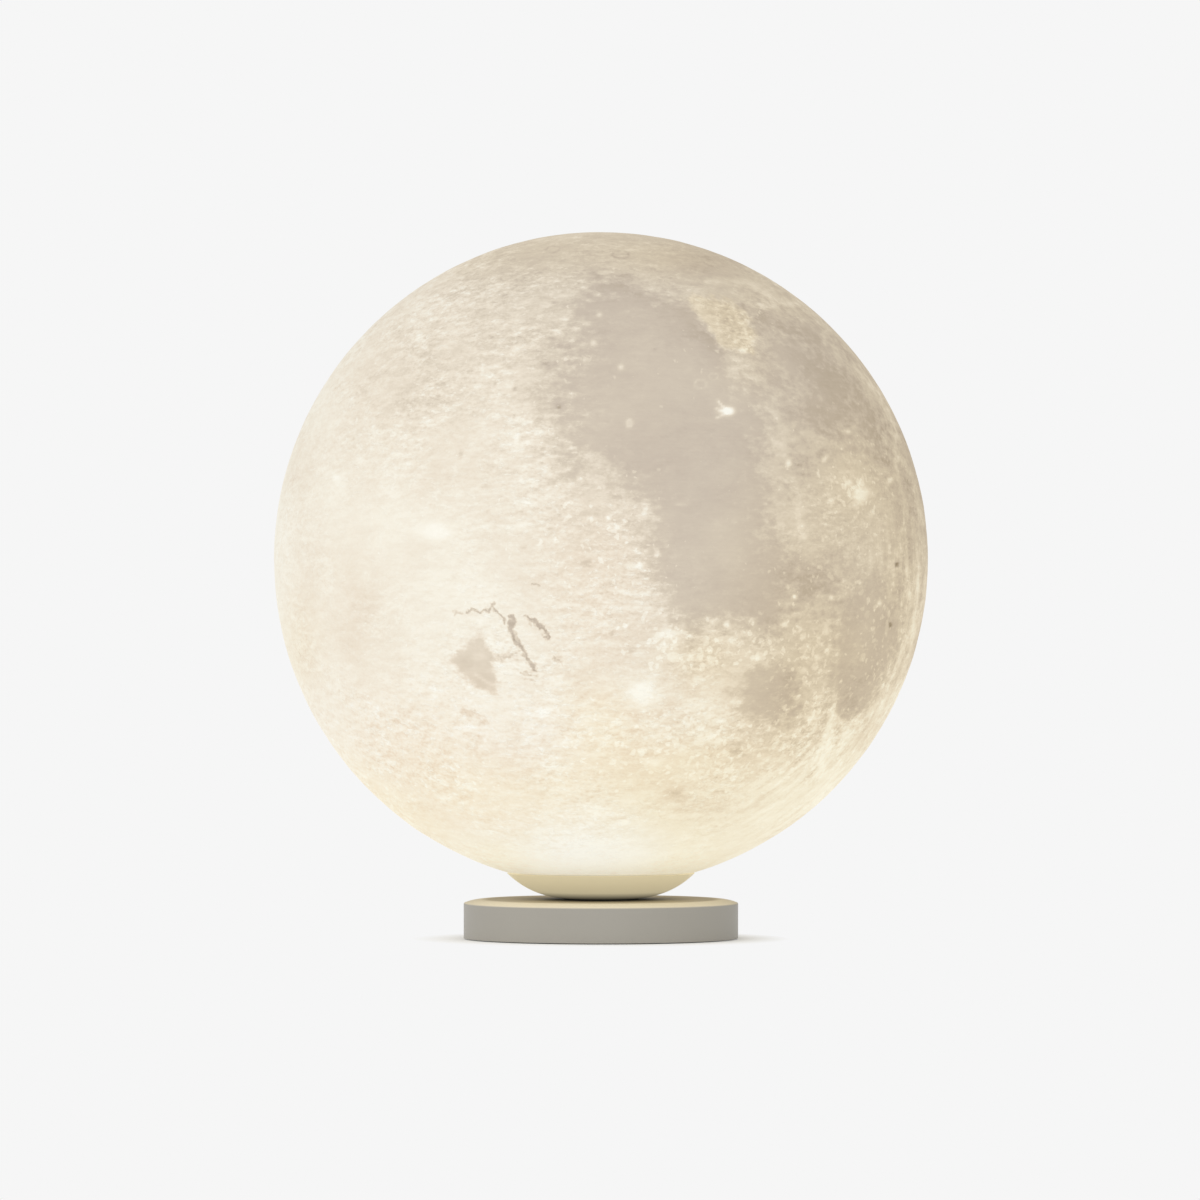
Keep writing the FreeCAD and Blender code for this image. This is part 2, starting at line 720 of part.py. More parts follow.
def wire_grommet():
    """Rubber sleeve that the leads pass through, from the base into the bowl."""
    body = new_body("wire_grommet")
    sleeve = "Size.wire_hole_radius - Size.grommet_clear"
    revolve(body, "sleeve", [
        ("Size.grommet_bore_radius", "Place.ceiling - Size.grommet_flange_thick"),
        ("Size.grommet_flange_radius", "Place.ceiling - Size.grommet_flange_thick"),
        ("Size.grommet_flange_radius", "Place.ceiling"),
        (sleeve, "Place.ceiling"),
        (sleeve, "Place.bowl_floor + Size.grommet_proud"),
        ("Size.grommet_bore_radius", "Place.bowl_floor + Size.grommet_proud"),
    ])


# ---------------------------------------------------------------- light source

def led_post():
    """Hollow post that lifts the light into the globe."""
    body = new_body("led_post")
    revolve(body, "tube", [
        ("Size.column_bore_radius", "Place.seat"),
        ("Place.column_foot_radius", "Place.seat"),
        ("Place.column_foot_radius", "Place.seat + Size.column_flange_thick"),
        ("Size.column_radius", "Place.seat + Size.column_flange_thick"),
        ("Size.column_radius", "Place.column_top - Size.column_flange_thick"),
        ("Size.column_head_radius", "Place.column_top - Size.column_flange_thick"),
        ("Size.column_head_radius", "Place.column_top"),
        ("Size.column_bore_radius", "Place.column_top"),
    ])
    foot_hole = drill(body, "foot_hole", "0", "Place.collar_screw_circle",
                      "Size.collar_screw_radius + Size.shank_clear", "Place.seat",
                      "Size.column_flange_thick")
    repeat(body, "foot_holes", [foot_hole], "Size.screw_count", False)
    head_hole = drill(body, "head_hole", "0", "Size.led_screw_circle",
                      "Size.small_screw_radius + Size.thread_clear",
                      "Place.column_top - Size.column_flange_thick", "Size.column_flange_thick")
    repeat(body, "head_holes", [head_hole], "Size.screw_count", False)


def heat_spreader():
    """Aluminium disc under the light-emitting board."""
    body = new_body("heat_spreader")
    post(body, "disc", "0", "0", "Place.dome_radius", "Place.column_top", "Size.spreader_thick")
    drill(body, "wire_hole", "0", "0", "Size.spreader_bore_radius", "Place.column_top",
          "Size.spreader_thick")
    hole = drill(body, "screw_hole", "0", "Size.led_screw_circle",
                 "Size.small_screw_radius + Size.shank_clear", "Place.column_top",
                 "Size.spreader_thick")
    repeat(body, "screw_holes", [hole], "Size.screw_count", False)


def led_board():
    """Round white board that carries the light-emitting chips."""
    body = new_body("led_board")
    post(body, "disc", "0", "0", "Place.led_board_radius", "Place.spreader_top",
         "Size.led_board_thick")
    hole = drill(body, "screw_hole", "0", "Size.led_screw_circle",
                 "Size.small_screw_radius + Size.shank_clear", "Place.spreader_top",
                 "Size.led_board_thick")
    repeat(body, "screw_holes", [hole], "Size.screw_count", False)


def led_chips():
    """Two rings of chips."""
    body = new_body("led_chips")
    for name in ("outer", "inner"):
        corners = centred_rectangle("Size.chip_length", "Size.chip_width",
                                    x=f"Size.{name}_chip_circle")
        chip = block(body, f"{name}_chip", corners, "Place.led_board_top", "Size.chip_thick")
        repeat(body, f"{name}_chips", [chip], f"Size.{name}_chip_count", True)


def led_board_screws():
    """Screws through board and spreader into the post's head."""
    length = "Size.led_board_thick + Size.spreader_thick + Size.led_screw_bite"
    pan_screws("led_board_screws", "0", "Size.led_screw_circle", "Place.led_board_top", True,
               dict(SMALL_SCREW, length=length), "Size.screw_count")


def led_diffuser():
    """Opal dome over the chips."""
    body = new_body("led_diffuser")
    inner = "(Place.dome_radius - Size.dome_wall)"
    inner_arc = "(Place.dome_arc - Size.dome_wall)"
    centre = "(Place.dome_top - Place.dome_arc)"
    revolve(body, "dome", [
        (inner, "Place.spreader_top"),
        ("Place.dome_radius", "Place.spreader_top"),
        ("Place.dome_radius", "Place.dome_edge", "Place.dome_arc", 1),
        ("0", "Place.dome_top"),
        ("0", "Place.dome_top - Size.dome_wall", inner_arc, -1),
        (inner, f"{centre} + sqrt({inner_arc} ^ 2 - {inner} ^ 2)"),
    ])


def led_lead(label, side):
    """Lead from the control board across the battery and up to the light-emitting board."""
    body = new_body(label)
    offset = f"{side} * Size.wire_spread"
    level = "Place.wire_level"
    spine = new_sketch(body, "route", "YZ_Plane", offset)
    draw_outline(spine, [
        ("Place.wire_pad", "Place.board_top"),
        ("Place.wire_pad", f"{level} - Size.wire_bend", "Size.wire_bend", 1),
        ("Place.wire_pad - Size.wire_bend", level),
        ("Size.wire_bend", level, "Size.wire_bend", -1),
        ("0", f"{level} + Size.wire_bend"),
        ("0", "Place.spreader_top"),
    ], closed=False)
    section = new_sketch(body, "section", "XY_Plane", "Place.board_top")
    draw_circle(section, offset, "Place.wire_pad", "Size.wire_radius")
    pipe = body.newObject("PartDesign::AdditivePipe", "lead")
    pipe.Profile = (section, [""])
    pipe.Spine = (spine, [])
    finish_feature(body, pipe, True)
    expected = spine.Shape.Length * math.pi * value("Size.wire_radius") ** 2
    print(f"{label}: bends {value('Size.wire_bend'):.2f} mm, length {spine.Shape.Length:.1f} mm,"
          f" volume / expected {pipe.Shape.Volume / expected:.4f}")


# ---------------------------------------------------------------- base

def base_housing():
    """Low round cup with a raised flat top, bosses inside and the openings at the back."""
    body = new_body("base_housing")
    revolve(body, "cup", [
        ("0", "Place.ceiling"),
        ("Place.housing_inner", "Place.ceiling"),
        ("Place.housing_inner", "Place.housing_bottom"),
        ("Size.housing_radius", "Place.housing_bottom"),
        ("Size.housing_radius", "Place.housing_top", "Place.crown_arc", 1),
        ("Place.crown_flat", "Place.crown_top"),
        ("0", "Place.crown_top"),
    ])
    top, rim_radius = value("Place.housing_top"), value("Size.housing_radius")
    round_edges(body, "top_edge", "Size.housing_edge", lambda edge: (
        abs(edge.BoundBox.ZMin - top) < CLOSE and abs(edge.BoundBox.ZMax - top) < CLOSE
        and abs(edge.BoundBox.XMax - rim_radius) < CLOSE))
    cover_boss = post(body, "cover_boss", "0", "-Place.cover_screw_circle",
                      "Size.cover_boss_radius", "Place.cover_top",
                      "Place.ceiling - Place.cover_top")
    repeat(body, "cover_bosses", [cover_boss], "Size.screw_count", True)
    bite = "Size.cover_screw_bite + Size.thread_clear"
    cover_hole = drill(body, "cover_hole", "0", "-Place.cover_screw_circle",
                       "Size.cover_screw_radius + Size.thread_clear", "Place.cover_top", bite)
    repeat(body, "cover_holes", [cover_hole], "Size.screw_count", False)
    for name, side in (("left", "-1"), ("right", "1")):
        x = f"{side} * Size.board_screw_side"
        post(body, f"{name}_board_boss", x, "Place.screw_row", "Size.small_boss_radius",
             "Place.board_top", "Place.ceiling - Place.board_top")
        drill(body, f"{name}_board_hole", x, "Place.screw_row",
              "Size.small_screw_radius + Size.thread_clear", "Place.board_top",
              "Size.small_screw_bite + Size.thread_clear")
    crown = "Place.crown_top - Place.ceiling"
    drill(body, "wire_hole", "0", "0", "Size.wire_hole_radius", "Place.ceiling", crown)
    seat_hole = drill(body, "seat_hole", "0", "-Size.seat_screw_circle",
                      "Size.seat_screw_radius + Size.shank_clear", "Place.ceiling", crown)
    repeat(body, "seat_holes", [seat_hole], "Size.screw_count", False)
    wall_inside, through = "(Place.housing_inner - Size.housing_wall)", "Size.housing_wall * 3"
    port = new_sketch(body, "port_sketch", "XZ_Plane", f"-{wall_inside}")
    draw_outline(port, rounded_rectangle(
        "(Size.port_width + 2 * Size.port_clear)", "(Size.port_height + 2 * Size.port_clear)",
        "(Size.port_corner + Size.port_clear)", "Place.port_axis"))
    pocket(body, "port_opening", port, through)
    for name, radius, turn in (("button", "Size.button_radius + Size.button_clear",
                                "-Size.button_turn"),
                               ("light", "Size.light_radius + Size.light_clear",
                                "Size.button_turn")):
        sketch = new_sketch(body, f"{name}_sketch", "XZ_Plane", turn=turn, out=wall_inside)
        draw_circle(sketch, "0", "Place.port_axis", radius)
        pocket(body, f"{name}_opening", sketch, through)


def bottom_cover():
    """Steel cover with the foot's groove underneath and countersunk holes."""
    body = new_body("bottom_cover")
    post(body, "disc", "0", "0", "Place.cover_radius", "Place.housing_bottom",
         "Size.cover_thick")
    groove = new_sketch(body, "groove_sketch", "XY_Plane", "Place.housing_bottom")
    draw_circle(groove, "0", "0", "Place.foot_outer + Size.foot_clear")
    draw_circle(groove, "0", "0", "Place.foot_inner - Size.foot_clear")
    pocket(body, "foot_groove", groove, "Size.foot_groove", up=True)
    hole = drill(body, "screw_hole", "0", "-Place.cover_screw_circle",
                 "Size.cover_screw_radius + Size.shank_clear", "Place.housing_bottom",
                 "Size.cover_thick")
    sink = screw_cone(body, "countersink", "PartDesign::SubtractiveCone", "Size.shank_clear")
    repeat(body, "screw_holes", [hole, sink], "Size.screw_count", False)


def screw_cone(body, name, kind, extra):
    """Cone of a countersunk head, standing on the housing's lower edge, larger by extra."""
    cone = body.newObject(kind, name)
    support = next(item for item in body.Origin.OriginFeatures if item.Role == "XY_Plane")
    cone.AttachmentSupport = [(support, "")]
    cone.MapMode = "FlatFace"
    cone.setExpression(".AttachmentOffset.Base.y", "-Place.cover_screw_circle")
    cone.setExpression(".AttachmentOffset.Base.z", "Place.housing_bottom")
    cone.setExpression("Radius1", f"Size.cover_head_radius + {extra}")
    cone.setExpression("Radius2", f"Size.cover_screw_radius + {extra}")
    cone.setExpression("Height", "Size.cover_head_thick")
    return finish_feature(body, cone, kind == "PartDesign::AdditiveCone")


def cover_screws():
    """Countersunk screws through the cover into the housing's bosses."""
    body = new_body("cover_screws")
    y = "-Place.cover_screw_circle"
    head = screw_cone(body, "head", "PartDesign::AdditiveCone", "0")
    shank = post(body, "shank", "0", y, "Size.cover_screw_radius",
                 "Place.housing_bottom + Size.cover_head_thick",
                 "Size.cover_thick - Size.cover_head_thick + Size.cover_screw_bite")
    recess = cutout(body, "recess",
                    plus_sign("0", y, "Size.recess_arm", "Size.recess_width / 2"),
                    "Place.housing_bottom", "Size.recess_depth")
    repeat(body, "screws", [head, shank, recess], "Size.screw_count", True)


def foot_ring():
    """Soft ring under the cover that the lamp stands on."""
    body = new_body("foot_ring")
    sketch = new_sketch(body, "ring_sketch", "XY_Plane")
    draw_circle(sketch, "0", "0", "Place.foot_outer")
    draw_circle(sketch, "0", "0", "Place.foot_inner")
    pad(body, "ring", sketch, "Place.foot_top")


def ballast_ring():
    """Steel weight on the cover, open at the back for the control board."""
    body = new_body("ballast_ring")
    sketch = new_sketch(body, "ring_sketch", "XY_Plane", "Place.cover_top")
    draw_circle(sketch, "0", "0", "Place.ballast_outer")
    draw_circle(sketch, "0", "0", "Place.ballast_inner")
    pad(body, "ring", sketch, "Size.ballast_height")
    side = "(Size.board_half_width + Size.ballast_board_gap)"
    cutout(body, "gap", rectangle(f"-{side}", side, "0", "2 * Place.ballast_outer"),
           "Place.cover_top", "Size.ballast_height")


# ---------------------------------------------------------------- battery

def battery_parts():
    """Flat cell on a foam pad, its protection strip, and its plug on the control board."""
    primitive("Box", "battery_pad", {
        "Length": "Size.battery_length - 2 * Size.pad_margin",
        "Width": "Size.battery_width - 2 * Size.pad_margin",
        "Height": "Size.pad_thick",
    }, ("Size.pad_margin - Size.battery_length / 2",
        "Size.battery_shift - Size.battery_width / 2 + Size.pad_margin", "Place.cover_top"))
    primitive("Box", "battery_tab", {
        "Length": "Size.tab_length", "Width": "Size.tab_width", "Height": "Size.tab_thick",
    }, ("-Size.tab_length / 2", "Place.battery_back", "Place.battery_bottom"))
    primitive("Box", "battery_plug", {
        "Length": "Size.plug_width", "Width": "Size.plug_depth", "Height": "Size.plug_height",
    }, ("Size.battery_plug_side - Size.plug_width / 2", "Size.board_front + Size.board_thick",
        "Place.board_top"))
    for label, side in (("battery_lead_red", "-1"), ("battery_lead_black", "1")):
        lead = primitive("Cylinder", label, {
            "Radius": "Size.wire_radius",
            "Height": "Size.board_front + Size.board_thick - Place.tab_back",
        }, (f"Size.battery_plug_side + {side} * Size.battery_lead_pitch / 2", "Place.tab_back",
            "Place.board_top + Size.wire_radius + Size.thread_clear"))
        lead.Placement = Placement(lead.Placement.Base, Rotation(Vector(1, 0, 0), -90))


def battery_cell():
    """Pouch cell with rounded long edges."""
    body = new_body("battery_cell")
    sketch = new_sketch(body, "section_sketch", "XZ_Plane",
                        "-(Size.battery_shift + Size.battery_width / 2)")
    draw_outline(sketch, rounded_rectangle(
        "Size.battery_length", "Size.battery_thick", "Size.battery_thick / 3",
        "(Place.battery_bottom + Size.battery_thick / 2)"))
    pad(body, "pouch", sketch, "Size.battery_width")


# ---------------------------------------------------------------- control board

def control_board():
    """Board screwed under the housing's bosses, its back edge following the wall."""
    body = new_body("control_board")
    corner = "sqrt(Place.board_radius ^ 2 - Size.board_half_width ^ 2)"
    block(body, "plate", [
        ("-Size.board_half_width", "Size.board_front"),
        ("Size.board_half_width", "Size.board_front"),
        ("Size.board_half_width", corner, "Place.board_radius", 1),
        ("-Size.board_half_width", corner),
    ], "Place.board_bottom", "Size.board_thick")
    for name, side in (("left", "-1"), ("right", "1")):
        drill(body, f"{name}_hole", f"{side} * Size.board_screw_side", "Place.screw_row",
              "Size.small_screw_radius + Size.shank_clear", "Place.board_bottom",
              "Size.board_thick")


def board_chips():
    """The charging and dimming parts on the board, with the status light's chip."""
    body = new_body("board_chips")
    bearing = "(Size.button_turn * 1 deg)"
    light = "(Size.housing_radius + Size.light_proud - Size.light_length - Size.chip_width / 2)"
    switch_back = "(Place.switch_front - Size.switch_depth - Size.chip_width / 2)"
    chips = [
        # name, steps across and back from the board's front edge, and width, depth, height
        ("charger", 18, 7, 8, 8, 1.8),
        ("dimmer", 13, 21, 6, 6, 1.8),
        ("coil", -20, 21, 8, 8, 4.8),
        ("capacitor", 9, 8, 3, 6, 3.2),
    ]
    for name, across, back, *steps in chips:
        width, depth, height = (f"{step} * Size.board_grid" for step in steps)
        corners = centred_rectangle(width, depth, f"{across} * Size.board_grid",
                                    f"Size.board_front + {back} * Size.board_grid")
        block(body, name, corners, "Place.board_top", height)
    for name, distance, side, height in (
            ("resistor", switch_back, "", "Size.board_grid"),
            ("status_chip", light, "-",
             "Place.port_axis - Place.board_top + Size.light_radius")):
        corners = centred_rectangle("3 * Size.board_grid", "3 * Size.board_grid",
                                    f"{side}{distance} * sin({bearing})",
                                    f"{distance} * cos({bearing})")
        block(body, name, corners, "Place.board_top", height)


def board_screws():
    """Two screws through the board, up into the housing."""
    body = new_body("board_screws")
    for name, side in (("left", "-1"), ("right", "1")):
        x = f"{side} * Size.board_screw_side"
        post(body, f"{name}_head", x, "Place.screw_row", "Size.small_head_radius",
             "Place.board_bottom - Size.small_head_thick", "Size.small_head_thick")
        post(body, f"{name}_shank", x, "Place.screw_row", "Size.small_screw_radius",
             "Place.board_bottom", "Size.board_thick + Size.small_screw_bite")
        cutout(body, f"{name}_recess",
               plus_sign(x, "Place.screw_row", "Size.small_recess_arm", "Size.recess_width / 2"),
               "Place.board_bottom - Size.small_head_thick", "Size.recess_depth")


def usb_c_shell():
    """Metal shell of the charging socket, on the board, its mouth in the housing's wall."""
    body = new_body("usb_c_shell")
    outer = new_sketch(body, "outer_sketch", "XZ_Plane", "-Place.port_front")
    draw_outline(outer, rounded_rectangle("Size.port_width", "Size.port_height",
                                          "Size.port_corner", "Place.port_axis"))
    pad(body, "shell", outer, "Size.port_length")
    inner = new_sketch(body, "inner_sketch", "XZ_Plane", "-Place.port_back")
    draw_outline(inner, rounded_rectangle(
        "(Size.port_width - 2 * Size.port_shell)", "(Size.port_height - 2 * Size.port_shell)",
        "(Size.port_corner - Size.port_shell)", "Place.port_axis"))
    pocket(body, "cavity", inner, "Size.port_length")


def usb_c_tongue():
    """Insulating block at the back of the shell, with the contact tongue."""
    body = new_body("usb_c_tongue")
    block_front = "(Place.port_back + Size.tongue_block)"
    base = new_sketch(body, "block_sketch", "XZ_Plane", f"-{block_front}")
    inset = "2 * (Size.port_shell + Size.thread_clear)"
    draw_outline(base, rounded_rectangle(
        f"(Size.port_width - {inset})", f"(Size.port_height - {inset})",
        "(Size.port_corner - Size.port_shell - Size.thread_clear)", "Place.port_axis"))
    pad(body, "block", base, "Size.tongue_block")
    tongue = new_sketch(body, "tongue_sketch", "XZ_Plane", "-Place.tongue_front")
    draw_outline(tongue, centred_rectangle("Size.tongue_width", "Size.tongue_thick",
                                           y="Place.port_axis"))
    pad(body, "tongue", tongue, f"Place.tongue_front - {block_front}")


def tact_switch():
    """Side-acting switch on the board, behind the button."""
    body = new_body("tact_switch")
    case = new_sketch(body, "case_sketch", "XZ_Plane", "-Place.switch_front")
    draw_outline(case, centred_rectangle("Size.switch_width", "Size.port_height",
                                         y="Place.port_axis"))
    pad(body, "case", case, "Size.switch_depth")
    depth = "(Size.plunger_tail + Size.button_travel + Size.plunger_clear)"
    bore = new_sketch(body, "bore_sketch", "XZ_Plane", f"{depth} - Place.switch_front")
    draw_circle(bore, "0", "Place.port_axis", "Size.plunger_radius + Size.plunger_clear")
    pocket(body, "bore", bore, depth)
    turn_about_axis(body, "-Size.button_turn")


def switch_plunger():
    """The switch's plunger, which the button pushes in."""
    body = new_body("switch_plunger")
    sketch = new_sketch(body, "stem_sketch", "XZ_Plane", "-Place.button_back")
    draw_circle(sketch, "0", "Place.port_axis", "Size.plunger_radius")
    pad(body, "stem", sketch, "Size.switch_gap + Size.plunger_tail")
    turn_about_axis(body, "-Size.button_turn")


def power_button():
    """Round cap in the housing's wall, kept in by a flange behind the wall."""
    body = new_body("power_button")
    cap = new_sketch(body, "cap_sketch", "XZ_Plane", "-Place.button_front")
    draw_circle(cap, "0", "Place.port_axis", "Size.button_radius")
    pad(body, "cap", cap, "Place.button_front - Place.button_back")
    front = value("Place.button_front")
    round_edges(body, "cap_edge", "Size.button_edge",
                lambda edge: abs(edge.BoundBox.YMin - front) < CLOSE)
    flange = new_sketch(body, "flange_sketch", "XZ_Plane", "-Place.flange_front")
    draw_outline(flange, centred_rectangle("Size.button_flange_width", "2 * Size.button_radius",
                                           y="Place.port_axis"))
    pad(body, "flange", flange, "Size.button_flange_thick")
    turn_about_axis(body, "-Size.button_turn")


def status_light_pipe():
    """Clear rod that brings the status light through the wall."""
    body = new_body("status_light_pipe")
    front = "(Size.housing_radius + Size.light_proud)"
    sketch = new_sketch(body, "rod_sketch", "XZ_Plane", f"-{front}")
    draw_circle(sketch, "0", "Place.port_axis", "Size.light_radius")
    pad(body, "rod", sketch, "Size.light_length")
    turn_about_axis(body, "Size.button_turn")


# ---------------------------------------------------------------- assembly

BUILDERS = [
    moon_globe, neck_ring, seat_bowl, collar_plate, spring_clips, clip_rivets, collar_screws,
    seat_screws, seat_gasket, wire_grommet, led_post, heat_spreader, led_board, led_chips,
    led_board_screws, led_diffuser, base_housing, bottom_cover, cover_screws, foot_ring,
    ballast_ring, battery_cell, battery_parts, control_board, board_chips, board_screws,
    usb_c_shell, usb_c_tongue, tact_switch, switch_plunger, power_button, status_light_pipe,
]


def build_pieces():
    for builder in BUILDERS:
        builder()
    led_lead("led_lead_red", "-1")
    led_lead("led_lead_black", "1")
    doc.recompute()


def check_pieces():
    """Stop if any object failed to compute or any piece has no valid solid."""
    for item in doc.Objects:
        for state in ("Invalid", "Error"):
            if state in item.State:
                raise RuntimeError(f"{item.Name} is {state}")
    for piece in pieces:
        if piece.Shape.isNull() or not piece.Shape.isValid() or not piece.Shape.Solids:
            raise RuntimeError(f"{piece.Label} has no valid solid")


def write_pieces():
    os.makedirs("parts", exist_ok=True)
    for piece in pieces:
        box = piece.Shape.BoundBox
        piece.Shape.exportStep(f"parts/{piece.Label}.step")
        print(f"{piece.Label}: {len(piece.Shape.Solids)} solid(s), {piece.Shape.Volume:.1f} mm3,"
              f" z {box.ZMin:.2f} to {box.ZMax:.2f}")


build_pieces()
check_pieces()
write_pieces()
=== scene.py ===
import json
import math

import bpy
import numpy as np
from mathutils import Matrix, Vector


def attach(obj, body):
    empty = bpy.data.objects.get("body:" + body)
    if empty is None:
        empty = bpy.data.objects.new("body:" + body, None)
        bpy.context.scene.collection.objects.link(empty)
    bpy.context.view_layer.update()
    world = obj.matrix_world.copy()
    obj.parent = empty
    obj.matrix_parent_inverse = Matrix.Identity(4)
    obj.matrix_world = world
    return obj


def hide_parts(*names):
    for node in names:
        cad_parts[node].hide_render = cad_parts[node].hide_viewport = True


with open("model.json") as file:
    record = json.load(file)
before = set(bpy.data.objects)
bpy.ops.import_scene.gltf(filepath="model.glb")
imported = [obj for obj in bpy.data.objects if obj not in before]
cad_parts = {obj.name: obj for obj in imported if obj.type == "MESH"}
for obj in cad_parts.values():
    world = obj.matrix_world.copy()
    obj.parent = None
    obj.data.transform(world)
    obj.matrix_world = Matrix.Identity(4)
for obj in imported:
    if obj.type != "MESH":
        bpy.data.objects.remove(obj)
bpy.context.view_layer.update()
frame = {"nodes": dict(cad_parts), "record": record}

# Moon lamp. Metres, +Z up, front towards -Y. The globe's pattern is laid out as it is seen from
# the front, in "disc" coordinates: (0, 0) is the middle of the globe, 1 its radius, u right, v up.

RADIUS = 0.100               # the globe's outside
INNER_RADIUS = 0.0984
CENTRE = 0.11619             # height of its middle
SEAT = 0.0204                # height of the rim of its opening
RIM_RADIUS = 0.0287          # the opening's radius at the outside of the shell
BORE_RADIUS = 0.0261         # and at its inside
FRONT_COLUMNS, BACK_COLUMNS = 451, 141
OUTSIDE_ROWS, INSIDE_ROWS = 380, 40
CRATERS = 560

# (from, to) of soft changes of colour
TOP_LEVEL = (0.0107, 0.0111)          # up the base, from its side to its top, made lighter and warmer by painted light from the globe's glow
SHOULDER_HIGHLIGHT_REACH = (0.0345, 0.0372)     # out over the base's top, to the painted highlight on its shoulder
FOOT_SHADE_REACH = (0.013, 0.029)     # out over the base's top, from the painted shade under the bowl
BOWL_FOOT_SHADE_LEVEL = (0.0127, 0.0146)    # up the bowl, out of the painted shade at its foot
FLOOR_REACH = (0.038, 0.058)          # out over the floor, to the background

CAMERA_AWAY = 2.46           # in front of the globe's middle
CAMERA_LEVEL = 0.1037
CAMERA_ASIDE = -0.00028
CAMERA_LENS = 241.08         # mm, on a sensor 36 mm wide
LIGHT_LEAN = (-0.144, -0.311, 0)      # the world's light grows towards the front left
LIGHT_LEVEL = 0.663


# ---------------------------------------------------------------- fields on the globe

def cell_values(cells, seed):
    """A repeatable random number from -1 to 1 for each cell of whole numbers."""
    mixed = cells[..., 0] * 374761393 + cells[..., 1] * 668265263 + cells[..., 2] * 362437
    mixed = mixed + seed * 144665
    mixed = (mixed ^ (mixed >> 13)) * 1274126177
    return ((mixed ^ (mixed >> 16)) & 0xFFFF) / 32767.5 - 1.0


def noise(points, scale, seed, octaves=4, gain=0.5):
    """Smooth noise at points, about -1 to 1."""
    total, weight, reach = np.zeros(len(points)), 1.0, 0.0
    for octave in range(octaves):
        spots = points * scale * 2 ** octave + 31.7
        cells = np.floor(spots).astype(np.int64)
        part = spots - cells
        part = part * part * (3 - 2 * part)
        value = np.zeros(len(points))
        for corner in range(8):
            step = np.array([corner & 1, corner >> 1 & 1, corner >> 2 & 1])
            share = np.prod(np.where(step, part, 1 - part), axis=1)
            value += share * cell_values(cells + step, seed + octave)
        total += weight * value
        reach += weight
        weight *= gain
    return total / reach


def smooth(low, high, value):
    part = np.clip((value - low) / (high - low), 0, 1)
    return part * part * (3 - 2 * part)


def inside(outline, u, v):
    """Distance into a closed outline, negative outside it."""
    nearest = np.full(len(u), 9.0)
    within = np.zeros(len(u), bool)
    for (au, av), (bu, bv) in zip(outline, outline[1:] + outline[:1]):
        nearest = np.minimum(nearest, to_segment(u, v, au, av, bu, bv))
        crosses = (av > v) != (bv > v)
        within ^= crosses & (u < (bu - au) * (v - av) / (bv - av + 1e-12) + au)
    return np.where(within, nearest, -nearest)


def to_segment(u, v, au, av, bu, bv):
    du, dv = bu - au, bv - av
    along = np.clip(((u - au) * du + (v - av) * dv) / (du * du + dv * dv), 0, 1)
    return np.hypot(u - au - along * du, v - av - along * dv)


def to_line(points, u, v):
    return np.minimum.reduce([to_segment(u, v, *a, *b) for a, b in zip(points, points[1:])])


def blob(u, v, at, size, tilt=0.0):
    """A soft ellipse, 1 in its middle."""
    du, dv = u - at[0], v - at[1]
    c, s = math.cos(math.radians(tilt)), math.sin(math.radians(tilt))
    across, along = (c * du + s * dv) / size[0], (c * dv - s * du) / size[1]
    return np.exp(-(across * across + along * along))


def laid(rows, u, v):
    """A field of soft ellipses: each row gives place, size, amount and perhaps a tilt."""
    return sum(amount * blob(u, v, at, size, *tilt) for at, size, amount, *tilt in rows)


# ---------------------------------------------------------------- what the pattern shows

# the outlines of the dark plains, and of the bright ground between the two upper ones
GREAT_MARE = [
    (-.03, .878), (.061, .865), (.152, .826), (.23, .8), (.295, .761), (.334, .696),
    (.379, .631), (.412, .592), (.515, .501), (.541, .41), (.515, .345), (.528, .241),
    (.515, .138), (.554, .034), (.619, -.005), (.71, -.018), (.762, -.07), (.71, -.122),
    (.593, -.148), (.541, -.226), (.476, -.213), (.386, -.187), (.282, -.226), (.23, -.187),
    (.204, -.122), (.152, -.018), (.152, .021), (.113, .073), (.126, .138), (.087, .189),
    (.009, .254), (-.082, .306), (-.108, .358), (-.121, .41), (-.173, .475), (-.212, .501),
    (-.186, .54), (-.134, .579), (-.108, .631), (-.069, .683), (-.095, .761), (-.056, .8)]
NORTH_EAST_MARE = [
    (.437, .774), (.515, .774), (.619, .748), (.71, .676), (.801, .572), (.866, .462),
    (.892, .371), (.853, .293), (.775, .345), (.671, .371), (.593, .41), (.528, .501),
    (.45, .592), (.476, .67)]
LOW_MARE = [
    (.45, -.356), (.515, -.317), (.593, -.33), (.622, -.395), (.606, -.46), (.541, -.499),
    (.476, -.512), (.424, -.473), (.437, -.408)]
EAST_MARE = [
    (.730, -.060), (.800, -.035), (.904, -.075), (.909, -.165), (.912, -.215), (.904, -.275),
    (.874, -.345), (.854, -.415), (.794, -.475), (.714, -.495), (.692, -.455), (.714, -.410),
    (.700, -.350), (.722, -.300), (.704, -.250), (.726, -.200), (.712, -.130)]
SMALL_MARE = [
    (-.371, -.230), (-.356, -.265), (-.326, -.280), (-.301, -.297), (-.324, -.325),
    (-.324, -.355), (-.314, -.390), (-.321, -.413), (-.356, -.405), (-.396, -.390),
    (-.421, -.355), (-.456, -.325), (-.461, -.305), (-.446, -.280), (-.411, -.267),
    (-.386, -.245)]
BRIGHT_WEDGE = [
    (.254, .794), (.314, .814), (.404, .784), (.444, .735), (.469, .675), (.464, .630),
    (.424, .635), (.369, .645), (.324, .715), (.284, .760)]

# outline, darkness, width of the shore; and where the shores are wider
MARIA = [(GREAT_MARE, 1.0, 0.050), (NORTH_EAST_MARE, 0.95, 0.08), (LOW_MARE, 0.95, 0.030),
         (EAST_MARE, 0.9, 0.022), (SMALL_MARE, 1.15, 0.012)]
WIDER_SHORES = [((-.14, .42), (.14, .26), 1.1), ((.54, .25), (.10, .25), .8),
                ((.80, -.06), (.14, .09), 2.0)]

